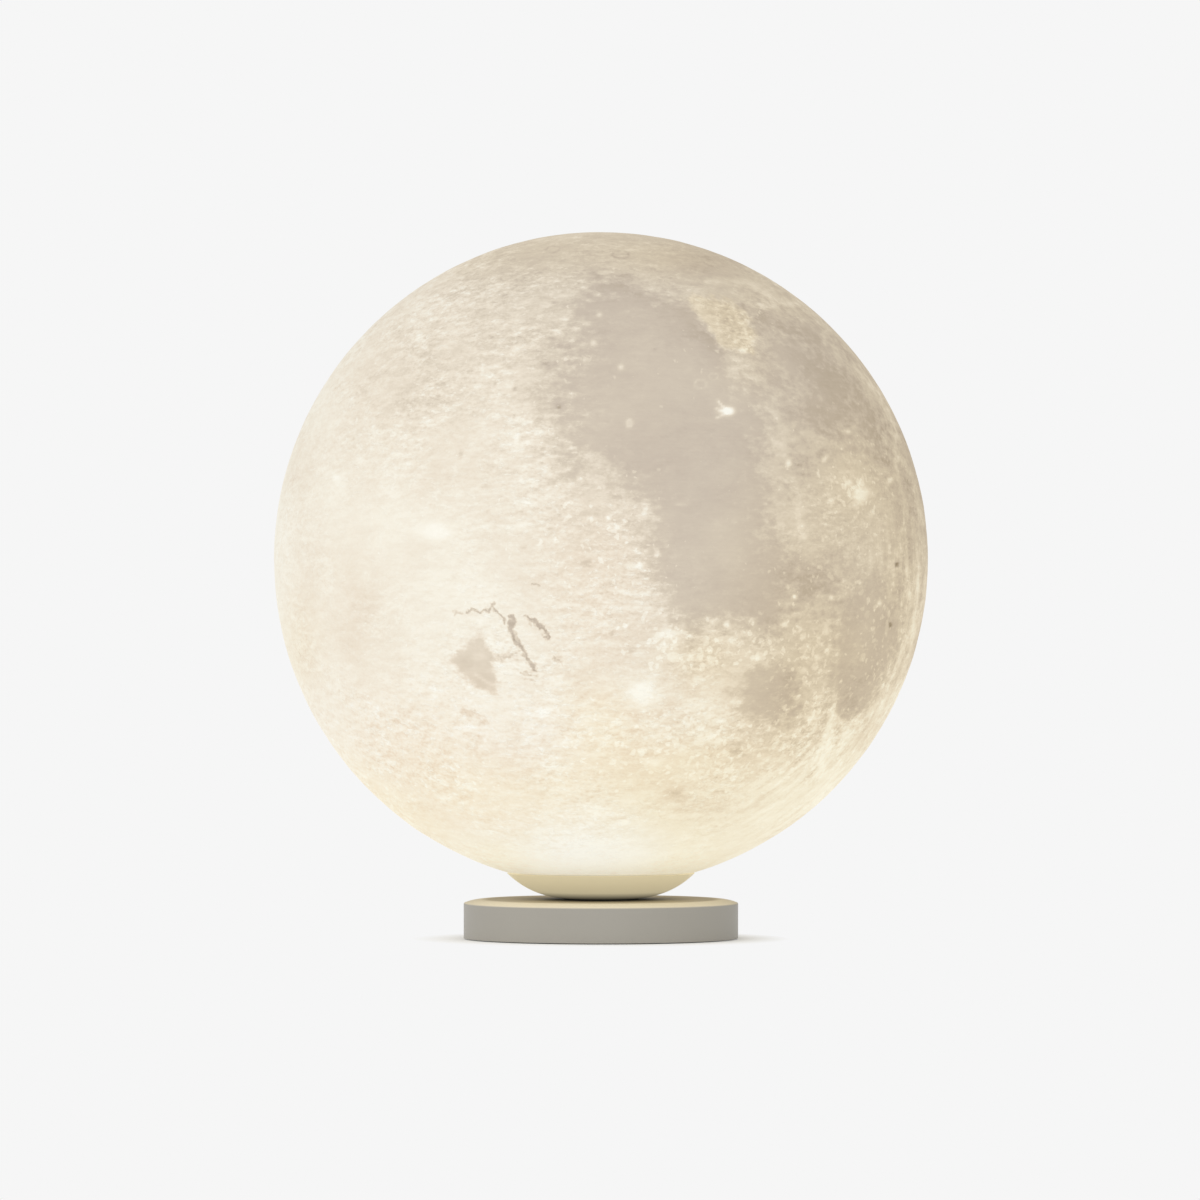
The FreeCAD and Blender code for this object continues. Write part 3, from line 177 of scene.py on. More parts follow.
# thin dark cracks: points along each, its width and its darkness
RILLES = [
    ([(-.271, -.178), (-.281, -.220), (-.256, -.250), (-.241, -.275), (-.216, -.315),
      (-.201, -.332)], 0.0085, 0.42),
    ([(-.448, -.165), (-.426, -.165)], 0.0045, 0.20),
    ([(-.411, -.160), (-.346, -.163), (-.331, -.140), (-.316, -.165), (-.296, -.190)],
     0.0055, 0.36),
    ([(-.221, -.173), (-.201, -.185), (-.196, -.200), (-.171, -.210), (-.161, -.238)],
     0.0062, 0.40),
    ([(-.221, -.175), (-.217, -.198)], 0.0060, 0.16),
    ([(-.212, -.075), (-.196, -.086)], 0.0050, 0.20),
    ([(-.236, -.345), (-.206, -.357)], 0.0045, 0.20),
    ([(-.237, -.365), (-.209, -.380)], 0.0040, 0.16),
    ([(-.147, -.300), (-.120, -.323)], 0.0050, 0.18),
    ([(-.306, -.300), (-.286, -.300), (-.256, -.280)], 0.0055, 0.16),
    ([(-.421, -.465), (-.395, -.476), (-.354, -.497)], 0.0110, 0.15),
    ([(-.377, -.525), (-.382, -.600)], 0.0060, 0.06),
]

# place, size, amount, tilt: broad lights and shades, as the lamp inside lights the shell
SHADES = [
    ((-.50, .03), (.28, .26), .04), ((-.15, .05), (.14, .14), -.04),
    ((-.40, .75), (.32, .17), -.09, 20), ((-.72, .50), (.20, .22), -.08),
    ((-.58, .50), (.10, .09), -.03), ((-.75, -.14), (.09, .16), -.07),
    ((-.60, -.10), (.08, .07), -.02), ((.05, .95), (.55, .09), -.08),
    ((.80, .22), (.15, .20), -.03), ((.38, .72), (.09, .10), -.03), ((0, -.93), (.40, .12), .16),
    ((.75, -.62), (.26, .08), .12, 47), ((.45, -.80), (.22, .06), .06, 28),
    ((.56, -.56), (.16, .05), -.06, 10), ((.38, -.60), (.10, .05), -.02),
    ((.11, -.41), (.16, .07), .04), ((-.10, -.66), (.60, .14), .05),
    ((.13, -.70), (.12, .05), -.03), ((.96, -.10), (.05, .40), -.02),
    ((.06, -.20), (.14, .10), -.01), ((.38, .50), (.16, .22), .10),
    ((.12, .62), (.18, .20), .045), ((.44, .18), (.10, .16), .045),
    ((.63, -.28), (.12, .22), -.04), ((.76, -.14), (.08, .10), -.07),
    ((.94, .18), (.07, .28), -.07), ((.60, .28), (.08, .08), -.07),
    ((-.45, .24), (.10, .10), -.05), ((-.92, .30), (.08, .14), -.06),
    ((-.38, -.15), (.14, .10), .04), ((.33, .90), (.14, .07), -.14),
    ((.81, -.12), (.10, .09), .06), ((-.25, -.48), (.30, .10), .04),
    ((-.56, -.52), (.14, .10), -.03), ((-.90, -.15), (.05, .15), -.04),
    ((0, -.88), (.40, .08), .08), ((-.25, -.76), (.40, .08), .05), ((.36, -.45), (.11, .07), .09),
    ((-.30, -.45), (.30, .10), .04), ((-.25, -.25), (.30, .12), .04),
    ((.10, -.12), (.12, .10), .04), ((.60, -.36), (.06, .12), -.05),
    ((.78, -.20), (.07, .16), .07), ((.76, .26), (.08, .10), .07), ((.95, .12), (.06, .20), -.06),
    ((.46, .62), (.09, .08), -.02), ((-.28, .92), (.10, .06), -.07),
    ((-.17, .50), (.07, .14), -.05), ((-.13, .64), (.06, .09), -.07),
    ((.40, .72), (.08, .08), -.06), ((.60, .58), (.10, .10), .01),
    ((.38, -.76), (.14, .08), -.03), ((-.92, .05), (.06, .40), -.025),
    ((-.45, .35), (.10, .35), -.02), ((-.58, .485), (.05, .045), -.045),
    ((-.61, .68), (.035, .05), -.04), ((-.49, .74), (.07, .035), .035),
    ((-.31, .53), (.05, .04), .03), ((-.36, .85), (.08, .03), -.02),
    ((-.92, -.28), (.06, .16), -.03), ((.70, -.42), (.14, .22), -.02),
    ((.45, -.03), (.12, .10), .035), ((0, -.95), (.30, .05), .06),
    ((-.76, -.20), (.14, .16), -.05), ((.60, -.62), (.20, .06), .03, 30),
    ((.95, 0), (.05, .35), -.04), ((.31, -.29), (.07, .07), -.04),
    ((.79, -.47), (.06, .06), -.08), ((.62, -.60), (.07, .06), -.06),
    ((.26, -.76), (.14, .06), -.05), ((-.53, .52), (.20, .14), -.04),
    ((.10, .50), (.20, .25), .015), ((.35, .05), (.14, .16), .03),
]

# place, size, amount: how uneven the ground looks, where small bright dots crowd, and where the
# colour is yellower or nearer to peach
UNEVEN = [((.02, -.38), (.46, .36), .42), ((-.55, .03), (.22, .26), -.42),
          ((-.45, .72), (.30, .20), .35), ((.13, .02), (.12, .22), .22),
          ((.62, -.52), (.24, .18), .45), ((-.55, -.62), (.30, .16), .20),
          ((-.08, .55), (.12, .22), .40), ((.44, .69), (.09, .13), .20),
          ((-.38, -.33), (.08, .08), .7), ((-.82, .05), (.20, .34), -.15),
          ((.66, .54), (.22, .22), -.60), ((-.35, .30), (.25, .25), .22),
          ((-.30, -.75), (.50, .12), .15)]
DOTTED = [((.09, .02), (.12, .20), .5), ((.22, -.28), (.20, .08), 1.0),
          ((.48, -.27), (.20, .06), .9), ((.64, -.42), (.10, .14), 1.0),
          ((.76, .20), (.14, .16), .7), ((.52, -.56), (.22, .08), .9),
          ((.16, -.56), (.30, .13), .9), ((-.10, .12), (.14, .20), .5),
          ((.50, -.62), (.26, .08), .8), ((-.50, -.68), (.24, .10), .5),
          ((-.10, .62), (.12, .16), .4), ((.41, .72), (.12, .10), .5),
          ((.85, -.25), (.10, .30), .6), ((.60, -.06), (.16, .12), .5)]
WARM = [((-.15, -.70), (.70, .14), .55), ((.52, .80), (.25, .12), .5),
        ((.20, -.66), (.26, .18), .3), ((-.22, -.56), (.16, .10), -.3),
        ((.46, .60), (.10, .10), .3), ((-.45, -.80), (.30, .12), .25),
        ((-.30, -.90), (.10, .06), .35), ((.30, -.90), (.10, .06), .35),
        ((.80, .24), (.12, .14), .25), ((.62, -.60), (.10, .10), .2),
        ((.30, -.30), (.12, .10), .5), ((.00, -.50), (.14, .14), .5),
        ((.70, -.40), (.18, .26), .5), ((.36, -.76), (.18, .12), .45),
        ((.93, -.10), (.08, .36), .35), ((-.93, -.28), (.07, .16), .4),
        ((.26, .92), (.20, .06), .3)]
PEACH = [((-.58, -.60), (.36, .22), .9), ((-.32, -.80), (.32, .10), .6),
         ((.00, -.60), (.34, .12), .5), ((-.80, -.18), (.14, .26), .15),
         ((-.02, -.15), (.18, .28), .4), ((.05, -.45), (.30, .08), .3)]

# place, half width, half height, amount: worn crater rims
RINGS = [((.087, .417), .011, .011, .20), ((-.005, .430), .036, .026, .05),
         ((.305, .537), .018, .014, .10), ((.061, .932), .026, .011, -.12),
         ((-.147, .949), .020, .009, -.12), ((-.140, .932), .012, .006, -.10),
         ((-.020, .337), .022, .018, .05), ((.345, .560), .014, .010, .08)]

# place, size, amount: single spots, bright where positive
SPOTS = [
    ((.392, .453), (.014, .010), .62), ((.375, .456), (.018, .012), .20),
    ((.087, .417), (.008, .008), .14),
    ((-.257, .371), (.010, .010), .28), ((-.510, .086), (.050, .022), .17),
    ((-.809, .248), (.012, .010), .18), ((.126, -.408), (.040, .030), .26),
    ((.794, .202), (.022, .024), .34), ((.758, .235), (.009, .009), .22),
    ((-.024, .663), (.009, .009), .26), ((-.004, .748), (.008, .008), .24),
    ((.061, .588), (.008, .008), .26), ((.756, .391), (.009, .008), .32),
    ((.684, .306), (.008, .008), .22), ((.574, .293), (.007, .010), .30),
    ((.171, .014), (.009, .007), .36), ((.119, -.018), (.010, .008), .26),
    ((.022, .124), (.008, .006), .22), ((.386, -.200), (.008, .009), .30),
    ((.340, -.194), (.008, .008), .24), ((.561, -.200), (.010, .008), .32),
    ((.593, -.116), (.007, .007), .34), ((.704, -.116), (.007, .008), .30),
    ((.853, -.135), (.007, .008), .34), ((.476, -.304), (.010, .009), .26),
    ((.217, -.226), (.036, .018), .18), ((.245, .170), (.016, .005), .14),
    ((.885, .241), (.010, .010), .26), ((.704, .176), (.010, .010), .18),
    ((.621, .068), (.012, .008), .20), ((.30, -.37), (.020, .012), .12),
    ((.168, -.62), (.020, .012), .20), ((-.045, .720), (.016, .008), .20),
    ((-.075, .705), (.014, .008), .18), ((-.17, .44), (.006, .006), .14),
    ((.62, -.34), (.010, .008), .22), ((.66, -.30), (.009, .009), .22),
    ((.70, -.27), (.008, .010), .20), ((.67, -.42), (.009, .009), .20),
    ((.64, -.49), (.012, .010), .22), ((.60, -.53), (.012, .010), .20),
    ((.690, -.215), (.008, .014), .18), ((.715, -.48), (.010, .010), .20),
    ((-.046, -.012), (.020, .014), -.18), ((.094, -.277), (.012, .010), -.16),
    ((.035, -.226), (.008, .008), -.18), ((.905, -.018), (.006, .006), -.46),
    ((.885, -.200), (.005, .005), -.36), ((.113, -.486), (.018, .010), -.10),
    ((.165, -.609), (.012, .010), -.14), ((.222, -.712), (.028, .018), -.16),
    ((.262, -.725), (.030, .006), -.12), ((-.429, .319), (.005, .010), -.22),
    ((-.264, .521), (.007, .006), -.26), ((.165, .642), (.006, .004), -.09),
    ((-.237, .035), (.010, .005), -.16),
    ((.372, -.228), (.012, .007), -.16), ((.39, -.41), (.022, .012), -.12),
    ((.42, -.59), (.030, .016), -.12), ((.58, -.57), (.030, .014), -.12),
    ((-.35, .22), (.012, .010), -.08), ((-.13, -.30), (.010, .008), -.10),
    ((-.141, .785), (.012, .005), -.20), ((-.166, .600), (.010, .005), -.20),
    ((-.296, .500), (.007, .005), -.18), ((-.131, .465), (.010, .006), -.16),
    ((-.130, .700), (.014, .006), .16), ((-.110, .735), (.016, .006), .16),
    ((.440, .640), (.009, .007), .20), ((.412, .668), (.008, .008), .22),
    ((-.355, -.375), (.035, .022), -.06), ((-.415, -.32), (.03, .02), -.03),
    ((-.370, -.30), (.025, .018), .05), ((-.335, -.345), (.018, .010), .04),
]

# points along each, its width and its amount: thin bright lines
STREAKS = [
    ([(.33, .85), (.45, .85), (.54, .79), (.60, .785)], .010, .13),
    ([(.40, .82), (.47, .78), (.53, .775)], .008, .10),
    ([(.775, .59), (.853, .501), (.905, .397), (.898, .332), (.955, .254), (.983, .11)], .008, .20),
    ([(.93, .20), (.965, .06), (.97, -.10), (.955, -.24)], .010, .20),
    ([(.728, -.16), (.722, -.28), (.716, -.42)], .005, .09),
    ([(.714, -.44), (.704, -.51), (.672, -.66)], .012, .26),
    ([(.706, -.47), (.682, -.56), (.655, -.62)], .006, .20),
    ([(.40, .775), (.43, .72), (.45, .68)], .008, .14),
    ([(-.385, -.352), (-.345, -.378), (-.320, -.388)], .005, .14),
    ([(.52, .40), (.56, .33), (.60, .20), (.61, .10)], .014, .10),
    ([(.90, .31), (.925, .18), (.935, .02), (.945, -.12)], .006, .18),
    ([(.388, .457), (.370, .470), (.358, .486)], .0035, .34),
    ([(.386, .452), (.366, .455), (.350, .462)], .0035, .28),
    ([(.386, .447), (.370, .440), (.352, .432)], .0035, .30),
    ([(-.420, -.385), (-.380, -.400), (-.345, -.408)], .003, .16),
    ([(-.610, .420), (-.520, .410), (-.440, .445), (-.400, .450)], .004, .12),
]


def as_seen(points):
    """Where unit points of the globe lie on its disc, from where the photo was taken."""
    near = CAMERA_AWAY / (CAMERA_AWAY + RADIUS * points[:, 1])
    drop = (CENTRE - CAMERA_LEVEL) / RADIUS
    return points[:, 0] * near, (points[:, 2] + drop) * near - drop


def maria(points, u, v, ragged, wide):
    """How far a point is into a mare, in widths of its shore: cut at the limb, and fading past
    it. Also that mare's darkness."""
    back = points[:, 1]
    widths = 1 + laid(WIDER_SHORES, u, v)
    fading = 9 * smooth(0.0, 0.45, back + 0.35 * ragged * smooth(0.0, 0.1, back))
    shore, depth = np.full(len(points), -9.0), np.full(len(points), 0.85)
    beyond = shore.copy()
    for outline, darkness, edge in MARIA:
        into = inside(outline, u, v) / (edge * widths)
        beyond = np.maximum(beyond, into - fading)
        into -= 40 * smooth(0.0, 0.2, back)
        depth = np.where(into > shore, darkness, depth)
        shore = np.maximum(shore, into)
    for at, size in FAR_MARIA:
        into = (size - np.linalg.norm(points - at, axis=1) + 0.25 * wide + 0.05 * ragged) / 0.07
        into -= 20 * smooth(0.40, 0.15, back + 0.3 * ragged)
        shore = np.maximum(shore, into)
    return np.clip(shore, -4, 4), np.clip(beyond, -4, 4), depth


def marks(u, v, ragged, shaken):
    """Single spots, crater rims and streaks."""
    mark = np.zeros(len(u))
    for at, size, amount in SPOTS:
        mark += amount * np.clip(1.25 * blob(u, v, at, size) * (1 + 0.4 * shaken), 0, 1)
    for at, half_width, half_height, amount in RINGS:
        apart = np.hypot((u - at[0]) / half_width, (v - at[1]) / half_height) - 1 + 0.25 * shaken
        mark += amount * np.exp(-(apart / 0.24) ** 2) * (0.8 + 0.9 * shaken)
    for line, width, amount in STREAKS:
        apart = to_line(line, u + 0.7 * width * shaken, v + 0.7 * width * ragged)
        mark += amount * np.exp(-(apart / width) ** 2) * (0.75 + 0.75 * ragged)
    return mark


def brushed(u, v, shore):
    """1 along the right limb, where fine lines follow the edge."""
    along, limb = np.arctan2(v, u), np.hypot(u, v)
    around = smooth(-1.25, -0.90, along) * smooth(0.35, -0.15, along)
    return smooth(0.74, 0.90, limb) * around * smooth(0.6, -0.8, shore)


def draw_pattern(points):
    """The shell's fields at unit points, and its height in metres."""
    u, v = as_seen(points)
    back = points[:, 1]
    ragged = noise(points, 11, 3, 5, 0.62)
    shaken = noise(points, 52, 14, 3)
    wide = noise(points * [1, 1, 1.6], 2.6, 11, 4)
    facing = smooth(0.60, 0.0, back + (0.7 * wide + 0.3 * ragged) * smooth(0.0, 0.4, back))
    near = smooth(0.30, 0.0, back)

    shore, beyond, depth = maria(points, u, v, ragged, wide)
    mare = depth * smooth(-1, 1, shore + 0.9 * ragged)
    wedge = inside(BRIGHT_WEDGE, u, v) / 0.011 + 1.5 * ragged + 1.8 * shaken
    wedge = near * smooth(-1.2, 1.2, wedge)
    shore = np.maximum(shore, beyond) * (1 + 2.2 * blob(u, v, (.36, .71), (.12, .12)))
    shore -= 1.6 * wedge
    # broad falls of the tone, darker towards the upper right and lighter towards the back and the
    # left: partly the Moon's own tones, partly painted light of the lamp's glow and the studio
    # light, in the base colour as well as the glow
    front = 0.70 - 0.20 * smooth(-0.35, 0.75, 0.8 * u + 0.6 * v)
    tone = 0.56 + (front - 0.56) * facing + (0.16 - 0.135 * facing) * wide
    tone += 0.085 * (1 + back) - 0.035 * points[:, 0] - 0.015

    # past the limb the front's places come again, mirrored, so there they are led astray
    astray = 0.35 * smooth(0.02, 0.40, back)
    u, v = u + astray * wide, v + astray * ragged
    tone += facing * laid(SHADES, u, v)
    brush = facing * brushed(u, v, shore)
    mark = marks(u, v, ragged, shaken) + 0.06 * brush + wedge * (0.045 + 0.06 * shaken)
    rough = np.clip(0.62 + facing * laid(UNEVEN, u, v) + 0.4 * wedge, 0.15, 2.4)
    dotted = 0.12 + facing * laid(DOTTED, u, v)
    dotted += (1 - facing) * np.clip(0.2 + 1.6 * wide, 0, 0.7)
    warm = 0.66 * smooth(0.20, 0.68, u - 0.35 * v) + 0.4 * smooth(0.80, 0.97, v)
    warm += 0.5 * smooth(0.90, 1.0, np.hypot(u, v)) * smooth(-0.45, -0.75, v) + 0.55 * wedge
    warm = np.clip(warm + laid(WARM, u, v), 0, 1)
    peach = np.clip(laid(PEACH, u, v), 0, 1)
    fields = {"tone": tone, "shore": shore, "depth": depth, "mark": mark * facing * near,
              "rough": rough, "dotted": np.clip(dotted, 0, 1),
              "warm": warm * facing + 0.35 * (1 - facing),
              "peach": peach * facing + 0.3 * (1 - facing),
              "brush": brush, "facing": facing, "seen_u": u, "seen_v": v}
    return fields, relief(points, mare, wide)


def random_direction(random):
    spot = random.normal(size=3)
    return spot / np.linalg.norm(spot)


def relief(points, mare, wide):
    """Height of the shell's relief, in metres: craters of all sizes over uneven ground."""
    random = np.random.default_rng(41)
    height = (0.00010 * wide + 0.00013 * noise(points, 12, 21, 4, 0.6)) * (1 - 0.7 * mare)
    for _ in range(CRATERS):
        at = random_direction(random)
        size = 0.011 + 0.050 * random.random() ** 4
        near = np.nonzero(points @ at > math.cos(2.1 * size))[0]
        apart = np.linalg.norm(points[near] - at, axis=1) / size
        shape = np.where(apart < 1, apart ** 2 * 1.35 - 1, 0.35 * np.exp(-5 * (apart - 1)))
        fresh = (0.25 + 0.75 * random.random()) * (1 - 0.75 * mare[near])
        height[near] += 0.0065 * size * fresh * shape
    return height


def far_maria():
    """Invented maria of the far side: (middle on the unit sphere, size)."""
    random = np.random.default_rng(7)
    spots = []
    for _ in range(9):
        at = random_direction(random)
        at[1] = abs(at[1])
        spots.append((at, 0.14 + 0.20 * random.random()))
    return spots


FAR_MARIA = far_maria()


# ---------------------------------------------------------------- the globe's mesh

def globe_rows():
    """(radius, height above the centre, share of the displacement) up the outside, then in."""
    low = -math.acos(RIM_RADIUS / RADIUS)
    rows = []
    for latitude in np.linspace(low, math.pi / 2, OUTSIDE_ROWS)[:-1]:
        share = float(smooth(0.0, math.radians(2.5), latitude - low))
        rows.append((RADIUS * math.cos(latitude), RADIUS * math.sin(latitude), share))
    return rows


def globe_mesh():
    """The shell, finer on its front, with its pattern's fields and its own round UV layer."""
    front = np.linspace(-90, 90, FRONT_COLUMNS)
    back = np.linspace(90, 270, BACK_COLUMNS)[1:-1]
    turns = np.radians(np.concatenate([front, back]))
    rows = globe_rows()
    low_inner = -math.acos(BORE_RADIUS / INNER_RADIUS)
    inner = [(BORE_RADIUS, SEAT - CENTRE, 0.0)]
    for latitude in np.linspace(low_inner, math.pi / 2, INSIDE_ROWS)[:-1]:
        inner.append((INNER_RADIUS * math.cos(latitude), INNER_RADIUS * math.sin(latitude), 0.0))
    sides = np.stack([np.sin(turns), -np.cos(turns)], axis=1)
    spots, shares = [], []
    for radius, level, share in inner[::-1] + rows:
        spots.append(np.column_stack([sides * radius, np.full(len(turns), level)]))
        shares.append(np.full(len(turns), share))
    spots = np.concatenate(spots + [[[0, 0, INNER_RADIUS], [0, 0, RADIUS]]])
    shares = np.concatenate(shares + [[0, 1]])
    units = spots / np.linalg.norm(spots, axis=1)[:, None]
    fields, height = draw_pattern(units)
    spots = spots + units * (height * shares)[:, None] + [0, 0, CENTRE]

    count, levels = len(turns), len(inner) + len(rows)
    edges = np.append(turns, math.radians(270))
    faces, across, along = [], [], []
    heights = np.concatenate([np.linspace(0.0, 0.10, len(inner)),
                              np.linspace(0.12, 0.995, len(rows))])
    for level in range(levels - 1):
        for column in range(count):
            following = (column + 1) % count
            faces.append((level * count + column, level * count + following,
                          (level + 1) * count + following, (level + 1) * count + column))
            across += [edges[column], edges[column + 1], edges[column + 1], edges[column]]
            along += [heights[level]] * 2 + [heights[level + 1]] * 2
    for column in range(count):
        following, top = (column + 1) % count, (levels - 1) * count
        middle = (edges[column] + edges[column + 1]) / 2
        faces.append((following, column, levels * count))
        faces.append((top + column, top + following, levels * count + 1))
        across += [edges[column + 1], edges[column], middle]
        across += [edges[column], edges[column + 1], middle]
        along += [0.0, 0.0, -0.002, 0.995, 0.995, 1.0]
    mesh = bpy.data.meshes.new("moon_shell")
    mesh.from_pydata(spots.tolist(), [], faces)
    mesh.shade_smooth()
    layer = mesh.uv_layers.new(name="round")
    places = np.column_stack([(np.array(across) + math.pi / 2) / (2 * math.pi), along])
    layer.data.foreach_set("uv", np.clip(places, 0, 1).ravel())
    for name, field in fields.items():
        mesh.attributes.new(name, "FLOAT", "POINT").data.foreach_set(
            "value", field.astype(np.float32))
    return mesh


# ---------------------------------------------------------------- node helpers

def join(tree, value, socket):
    if isinstance(value, bpy.types.NodeSocket):
        tree.links.new(value, socket)
    elif value is not None:
        socket.default_value = value


def add(tree, kind, *values, **settings):
    """A node with the given properties, its first inputs joined to, or set to, the values."""
    made = tree.nodes.new(kind)
    for name, setting in settings.items():
        setattr(made, name, setting)
    for socket, value in zip(made.inputs, values):
        join(tree, value, socket)
    return made


def calc(tree, operation, *values, clamp=False):
    return add(tree, "ShaderNodeMath", *values, operation=operation, use_clamp=clamp).outputs[0]


def remap(tree, value, low, high, out_low=0.0, out_high=1.0):
    return add(tree, "ShaderNodeMapRange", value, low, high, out_low, out_high).outputs[0]


def mix_colour(tree, share, first, second, blend="MIX"):
    made = add(tree, "ShaderNodeMix", data_type="RGBA", blend_type=blend)
    for name, value in (("Factor_Float", share), ("A_Color", first), ("B_Color", second)):
        socket = next(item for item in made.inputs if item.identifier == name)
        join(tree, value, socket)
    return next(item for item in made.outputs if item.identifier == "Result_Color")


def ramp(tree, value, *stops):
    made = add(tree, "ShaderNodeValToRGB", value)
    line = made.color_ramp
    while len(line.elements) < len(stops):
        line.elements.new(0.5)
    for element, (place, colour) in zip(line.elements, stops):
        element.position = place
        element.color = (*[to_linear(part) for part in colour], 1)
    return made.outputs[0]


def to_linear(part):
    part /= 255
    return part / 12.92 if part <= 0.04045 else ((part + 0.055) / 1.055) ** 2.4


def shade(red, green, blue):
    """A colour given as it looks on screen, 0 to 255, for a node's socket."""
    return (to_linear(red), to_linear(green), to_linear(blue), 1)


def speckle(tree, vector, scale, detail=3.0, rough=0.5, stretch=None):
    if stretch is not None:
        vector = add(tree, "ShaderNodeMapping", vector, (0, 0, 0), (0, 0, 0), stretch).outputs[0]
    made = add(tree, "ShaderNodeTexNoise", vector)
    for name, value in (("Scale", scale), ("Detail", detail), ("Roughness", rough)):
        made.inputs[name].default_value = value
    return made.outputs[0]


def new_material(name):
    material = bpy.data.materials.new(name)
    material.use_nodes = True
    tree = material.node_tree
    tree.nodes.clear()
    output = tree.nodes.new("ShaderNodeOutputMaterial")
    body = tree.nodes.new("ShaderNodeBsdfPrincipled")
    tree.links.new(body.outputs[0], output.inputs[0])
    place = tree.nodes.new("ShaderNodeTexCoord").outputs["Object"]
    return material, tree, body, place


def settle(tree, body, **values):
    """Principled inputs by name, with _ for a space."""
    for name, value in values.items():
        join(tree, value, body.inputs[name.replace("_", " ")])


def bump(tree, height, distance, strength=1.0):
    made = add(tree, "ShaderNodeBump")
    for name, value in (("Strength", strength), ("Distance", distance), ("Height", height)):
        join(tree, value, made.inputs[name])
    return made.outputs[0]


# ---------------------------------------------------------------- materials

def bright_dots(tree, spot, scale, crowding):
    """Small fresh craters, irregular in size and shape, more of them where crowding is high."""
    warped = add(tree, "ShaderNodeVectorMath", spot, None, operation="ADD")
    wobble = add(tree, "ShaderNodeTexNoise", spot)
    wobble.inputs["Scale"].default_value = scale * 1.1
    shift = add(tree, "ShaderNodeVectorMath", wobble.outputs["Color"], (-0.5, -0.5, -0.5))
    shift = add(tree, "ShaderNodeVectorMath", shift.outputs[0], operation="SCALE")
    shift.inputs["Scale"].default_value = 1.3 / scale
    join(tree, shift.outputs[0], warped.inputs[1])
    cells = add(tree, "ShaderNodeTexVoronoi", warped.outputs[0])
    cells.inputs["Scale"].default_value = scale
    chance = calc(tree, "ADD", add(tree, "ShaderNodeSeparateColor",
                                   cells.outputs["Color"]).outputs[0], crowding)
    reach = remap(tree, chance, 0.70, 1.8, 0.0, 0.44)
    inner = calc(tree, "SUBTRACT", reach, cells.outputs["Distance"])
    return remap(tree, inner, 0.0, 0.10)


def crack_group():
    """Node group: how deep a point lies in a straight crack from A to B."""
    tree = bpy.data.node_groups.new("crack", "ShaderNodeTree")
    for name in "PAB":
        tree.interface.new_socket(name, in_out="INPUT", socket_type="NodeSocketVector")
    tree.interface.new_socket("Away", in_out="OUTPUT", socket_type="NodeSocketFloat")
    p, a, b = add(tree, "NodeGroupInput").outputs[:3]

    def vector(operation, *values, result=0):
        made = add(tree, "ShaderNodeVectorMath", *values, operation=operation)
        return made.outputs[result]

    to_p, to_b = vector("SUBTRACT", p, a), vector("SUBTRACT", b, a)
    share = calc(tree, "DIVIDE", vector("DOT_PRODUCT", to_p, to_b, result="Value"),
                 vector("DOT_PRODUCT", to_b, to_b, result="Value"), clamp=True)
    nearest = add(tree, "ShaderNodeVectorMath", to_b, operation="SCALE")
    join(tree, share, nearest.inputs["Scale"])
    away = vector("LENGTH", vector("SUBTRACT", to_p, nearest.outputs[0]), result="Value")
    join(tree, away, add(tree, "NodeGroupOutput").inputs[0])
    return tree


def cracks(tree, seen):
    """Darkness of all the rilles at a point of the disc."""
    group, total = crack_group(), None

    def least(first, second):
        return second if first is None else calc(tree, "MINIMUM", first, second)

    for line, width, amount in RILLES:
        away = None
        for start, end in zip(line, line[1:]):
            piece = add(tree, "ShaderNodeGroup", node_tree=group)
            for socket, value in zip(piece.inputs, (seen, (*start, 0), (*end, 0))):
                join(tree, value, socket)
            away = least(away, piece.outputs[0])
        depth = remap(tree, away, width * 0.35, width * 1.5, amount, 0.0)
        total = depth if total is None else calc(tree, "MAXIMUM", total, depth)
    return total


